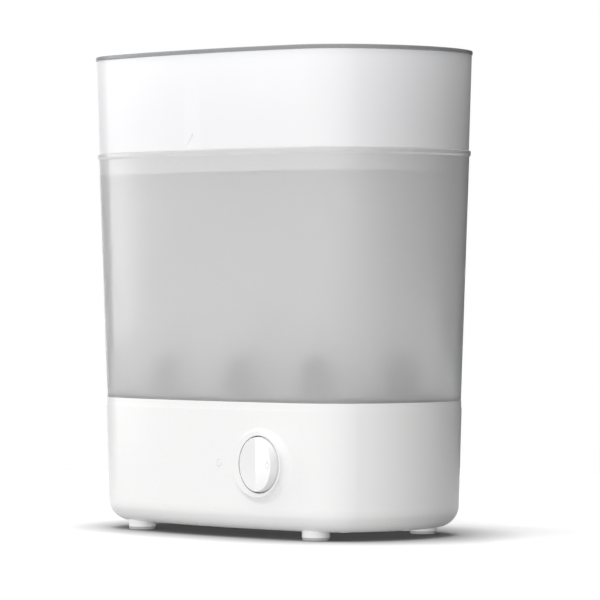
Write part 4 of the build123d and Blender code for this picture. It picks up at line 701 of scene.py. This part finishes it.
# a cutting tool reaches this far past what it cuts
OVERCUT = 1.0
SLOT_SIDES = 20
skirt_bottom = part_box("small_basket")[0][2] / MM
tray_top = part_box("small_basket")[1][2] / MM
tray_floor = skirt_bottom + TRAY_WALL
skirt_inset = tub_inset(skirt_bottom) + TUB_WALL + STACK_GAP
skirt_inner = skirt_inset + TRAY_WALL


def tray_inset(height):
    """How far inside the lid's edge the tray's outer face stands, in millimetres."""
    return TRAY_TOP_INSET + (tray_top - height) * TRAY_SLOPE


def hollow_corner(inset, height, radius, steps=6):
    """Points round an inner corner, from its upright wall down to its floor."""
    points = []
    for step in range(steps + 1):
        angle = math.radians(90) * step / steps
        points.append((inset + radius * (1 - math.cos(angle)), height + radius * (1 - math.sin(angle))))
    return points


def shape_with(piece, tool, operation):
    """Cuts the tool out of the piece, or joins the tool to it, and takes the tool away."""
    bpy.ops.object.select_all(action="DESELECT")
    bpy.context.view_layer.objects.active = piece
    shaping = piece.modifiers.new("shaping", "BOOLEAN")
    shaping.solver = "EXACT"
    shaping.operation = operation
    shaping.object = tool
    bpy.ops.object.modifier_apply(modifier=shaping.name)
    bpy.data.objects.remove(tool)


def slot_tool(length, width, low, high, places):
    """Round-ended slots along X, one at each place, standing from low to high."""
    bpy.ops.object.select_all(action="DESELECT")
    bpy.ops.mesh.primitive_cylinder_add(
        vertices=SLOT_SIDES,
        radius=width / 2 / math.cos(math.pi / SLOT_SIDES) * MM,
        depth=(high - low) * MM,
        location=(0, 0, (low + high) / 2 * MM),
    )
    tool = bpy.context.object
    tool.rotation_euler = (0, 0, math.pi / SLOT_SIDES)
    bpy.ops.object.transform_apply(location=True, rotation=True, scale=False)
    for vertex in tool.data.vertices:
        vertex.co.x += math.copysign((length - width) / 2 * MM, vertex.co.x)
    copies = [tool]
    for x, y in places[1:]:
        copy = tool.copy()
        copy.data = tool.data.copy()
        copy.location = (x * MM, y * MM, 0)
        bpy.context.scene.collection.objects.link(copy)
        copies.append(copy)
    tool.location = (places[0][0] * MM, places[0][1] * MM, 0)
    for copy in copies:
        copy.select_set(True)
    bpy.ops.object.join()
    bpy.ops.object.transform_apply(location=True, rotation=False, scale=False)
    return tool


small_tray = swept_wall(
    "small_tray",
    [
        (FLOOR_RING_INSET, skirt_bottom),
        (skirt_inset, skirt_bottom),
        (skirt_inset, tub_top),
        (tray_inset(tub_top), tub_top),
        (TRAY_TOP_INSET, tray_top),
        (TRAY_TOP_INSET + TRAY_WALL, tray_top),
        (tray_inset(tub_top + SHOULDER) + TRAY_WALL, tub_top + SHOULDER),
        (skirt_inner, tub_top + SHOULDER),
        *hollow_corner(skirt_inner, tray_floor, SKIRT_CORNER),
        (FLOOR_RING_INSET, tray_floor),
    ],
    EDGE_ROUNDING,
    floor=True,
)
half_width, half_depth = (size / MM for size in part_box("lid")[1][:2])
slot_places = []
slot_depth = half_depth - skirt_inner - FLOOR_SLOT_MARGIN
slot_pitch = FLOOR_SLOT_LENGTH + FLOOR_SLOT_BRIDGE
rows = int(slot_depth // FLOOR_SLOT_PITCH)
for row in range(-rows, rows + 1):
    y = row * FLOOR_SLOT_PITCH
    stagger = slot_pitch / 2 if row % 2 else 0.0
    rounding = (half_width - half_depth) * (abs(y) / slot_depth) ** 3
    reach = half_width - skirt_inner - FLOOR_SLOT_MARGIN - rounding
    columns = int(reach // slot_pitch) + 1
    for column in range(-columns, columns + 1):
        x = column * slot_pitch + stagger
        if abs(x) + FLOOR_SLOT_LENGTH / 2 <= reach:
            slot_places.append((x, y))
floor_slots = slot_tool(
    FLOOR_SLOT_LENGTH, FLOOR_SLOT_WIDTH, skirt_bottom - OVERCUT, tray_floor + OVERCUT, slot_places,
)
shape_with(small_tray, floor_slots, "DIFFERENCE")

# the triangle is pressed a little way into the front wall
arrow_foot = tub_top + ARROW_RISE
arrow_face = tray_inset(arrow_foot) - half_depth + ARROW_DEPTH
bpy.ops.object.select_all(action="DESELECT")
bpy.ops.mesh.primitive_cylinder_add(vertices=3, radius=1, depth=2 * OVERCUT * MM)
arrow = bpy.context.object
for vertex in arrow.data.vertices:
    side = 0 if abs(vertex.co.x) < 0.1 else math.copysign(1, vertex.co.x)
    x = side * ARROW_WIDTH / 2
    y = arrow_face if vertex.co.z > 0 else arrow_face - 2 * OVERCUT
    z = arrow_foot if side else arrow_foot + ARROW_HEIGHT
    vertex.co = (x * MM, y * MM, z * MM)
bpy.ops.object.mode_set(mode="EDIT")
bpy.ops.mesh.select_all(action="SELECT")
bpy.ops.mesh.normals_make_consistent(inside=False)
bpy.ops.object.mode_set(mode="OBJECT")
shape_with(small_tray, arrow, "DIFFERENCE")
bpy.context.view_layer.objects.active = small_tray
small_tray.select_set(True)
bpy.ops.object.shade_smooth_by_angle(angle=math.radians(40))
small_tray.data.materials.append(white_pp)
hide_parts("small_basket")
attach(small_tray, "small_basket")

# ----------------------------------------------------------------------------------------------
# Item plate
# A flat perforated plate of the same white polypropylene, with a finger hole in the middle. It lies
# loose on the small basket's shoulder and holds teats and rings.
# ----------------------------------------------------------------------------------------------

finish(white_pp, "item_plate")

# ----------------------------------------------------------------------------------------------
# Lid
# One moulding of smoky translucent polypropylene: a flat rim that lies on the small basket, a
# dished panel with steam vents, and a hollow grip along its middle, level with the rim.
# ----------------------------------------------------------------------------------------------

LID_WALL = 2.0
LID_ROUNDING = 0.7
DISH_DEPTH = 14.0
DISH_SLOPE = math.tan(math.radians(8))
DISH_CORNER = 7.0
GRIP_LENGTH = 92.0
GRIP_WIDTH = 16.0
GRIP_CORNER = 7.0
GRIP_CROWN = 3.0
LID_VENT_LENGTH = 16.0
LID_VENT_WIDTH = 3.0
LID_VENT_PITCH = 8.0
LID_VENT_GAP = 22.0
LID_VENT_COUNT = 3
lid_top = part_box("lid")[1][2] / MM
panel_low = lid_top - DISH_DEPTH
dish_top = TRAY_TOP_INSET + TRAY_WALL + STACK_GAP
dish_low = dish_top + DISH_DEPTH * DISH_SLOPE
hollow_low = dish_low + LID_WALL
hollow_top = hollow_low - (DISH_DEPTH - LID_WALL) * DISH_SLOPE
vented_lid = swept_wall(
    "vented_lid",
    [
        (FLOOR_RING_INSET, panel_low),
        *reversed(hollow_corner(dish_low, panel_low, DISH_CORNER, 10)),
        (dish_top, tray_top),
        (0, tray_top),
        (0, lid_top),
        (hollow_top, lid_top),
        *hollow_corner(hollow_low, panel_low + LID_WALL, DISH_CORNER - LID_WALL, 10),
        (FLOOR_RING_INSET, panel_low + LID_WALL),
    ],
    LID_ROUNDING,
    floor=True,
)


def select_edges(piece, wanted):
    """Goes into edit mode with the edges selected whose two end heights pass the test."""
    bpy.ops.object.mode_set(mode="EDIT")
    bpy.ops.mesh.select_mode(type="EDGE")
    bpy.ops.mesh.select_all(action="DESELECT")
    bpy.ops.object.mode_set(mode="OBJECT")
    for edge in piece.data.edges:
        edge.select = wanted(*(piece.data.vertices[end].co.z / MM for end in edge.vertices))
    bpy.ops.object.mode_set(mode="EDIT")


def rounded_bar(length, width, low, high, corner, crown):
    """Upright block along X, its corners rounded in plan and its top edge crowned."""
    bpy.ops.object.select_all(action="DESELECT")
    bpy.ops.mesh.primitive_cube_add(size=1, location=(0, 0, (low + high) / 2 * MM))
    bar = bpy.context.object
    bar.scale = (length * MM, width * MM, (high - low) * MM)
    bpy.ops.object.transform_apply(location=True, rotation=False, scale=True)
    select_edges(bar, lambda start, end: abs(start - end) > 1)
    bpy.ops.mesh.bevel(offset=corner * MM, segments=8, affect="EDGES")
    if crown:
        select_edges(bar, lambda start, end: min(start, end) > high - 0.01)
        bpy.ops.mesh.bevel(offset=crown * MM, segments=6, affect="EDGES")
    bpy.ops.object.mode_set(mode="OBJECT")
    return bar


grip = rounded_bar(GRIP_LENGTH, GRIP_WIDTH, panel_low, lid_top, GRIP_CORNER, GRIP_CROWN)
shape_with(vented_lid, grip, "UNION")
core = rounded_bar(
    GRIP_LENGTH - 2 * LID_WALL, GRIP_WIDTH - 2 * LID_WALL, panel_low - OVERCUT, lid_top - LID_WALL,
    GRIP_CORNER - LID_WALL, 0,
)
shape_with(vented_lid, core, "DIFFERENCE")
vent_places = []
for side in (-1, 1):
    for index in range(LID_VENT_COUNT):
        vent_places.append((0, side * (GRIP_LENGTH / 2 + LID_VENT_GAP + index * LID_VENT_PITCH)))
vents = slot_tool(
    LID_VENT_LENGTH, LID_VENT_WIDTH, panel_low - OVERCUT, panel_low + LID_WALL + OVERCUT, vent_places,
)
vents.rotation_euler = (0, 0, math.radians(90))
bpy.ops.object.transform_apply(location=True, rotation=True, scale=False)
shape_with(vented_lid, vents, "DIFFERENCE")
bpy.context.view_layer.objects.active = vented_lid
vented_lid.select_set(True)
bpy.ops.object.shade_smooth_by_angle(angle=math.radians(40))
# grey tint in clear polypropylene, so the rim passes a little light
smoky = moulded(
    "smoky_polypropylene", "B3B4B6", "A9AAAD", 0.3, grain=0.45, Transmission_Weight=0.35, IOR=1.49,
)
vented_lid.data.materials.append(smoky)
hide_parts("lid")
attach(vented_lid, "lid")
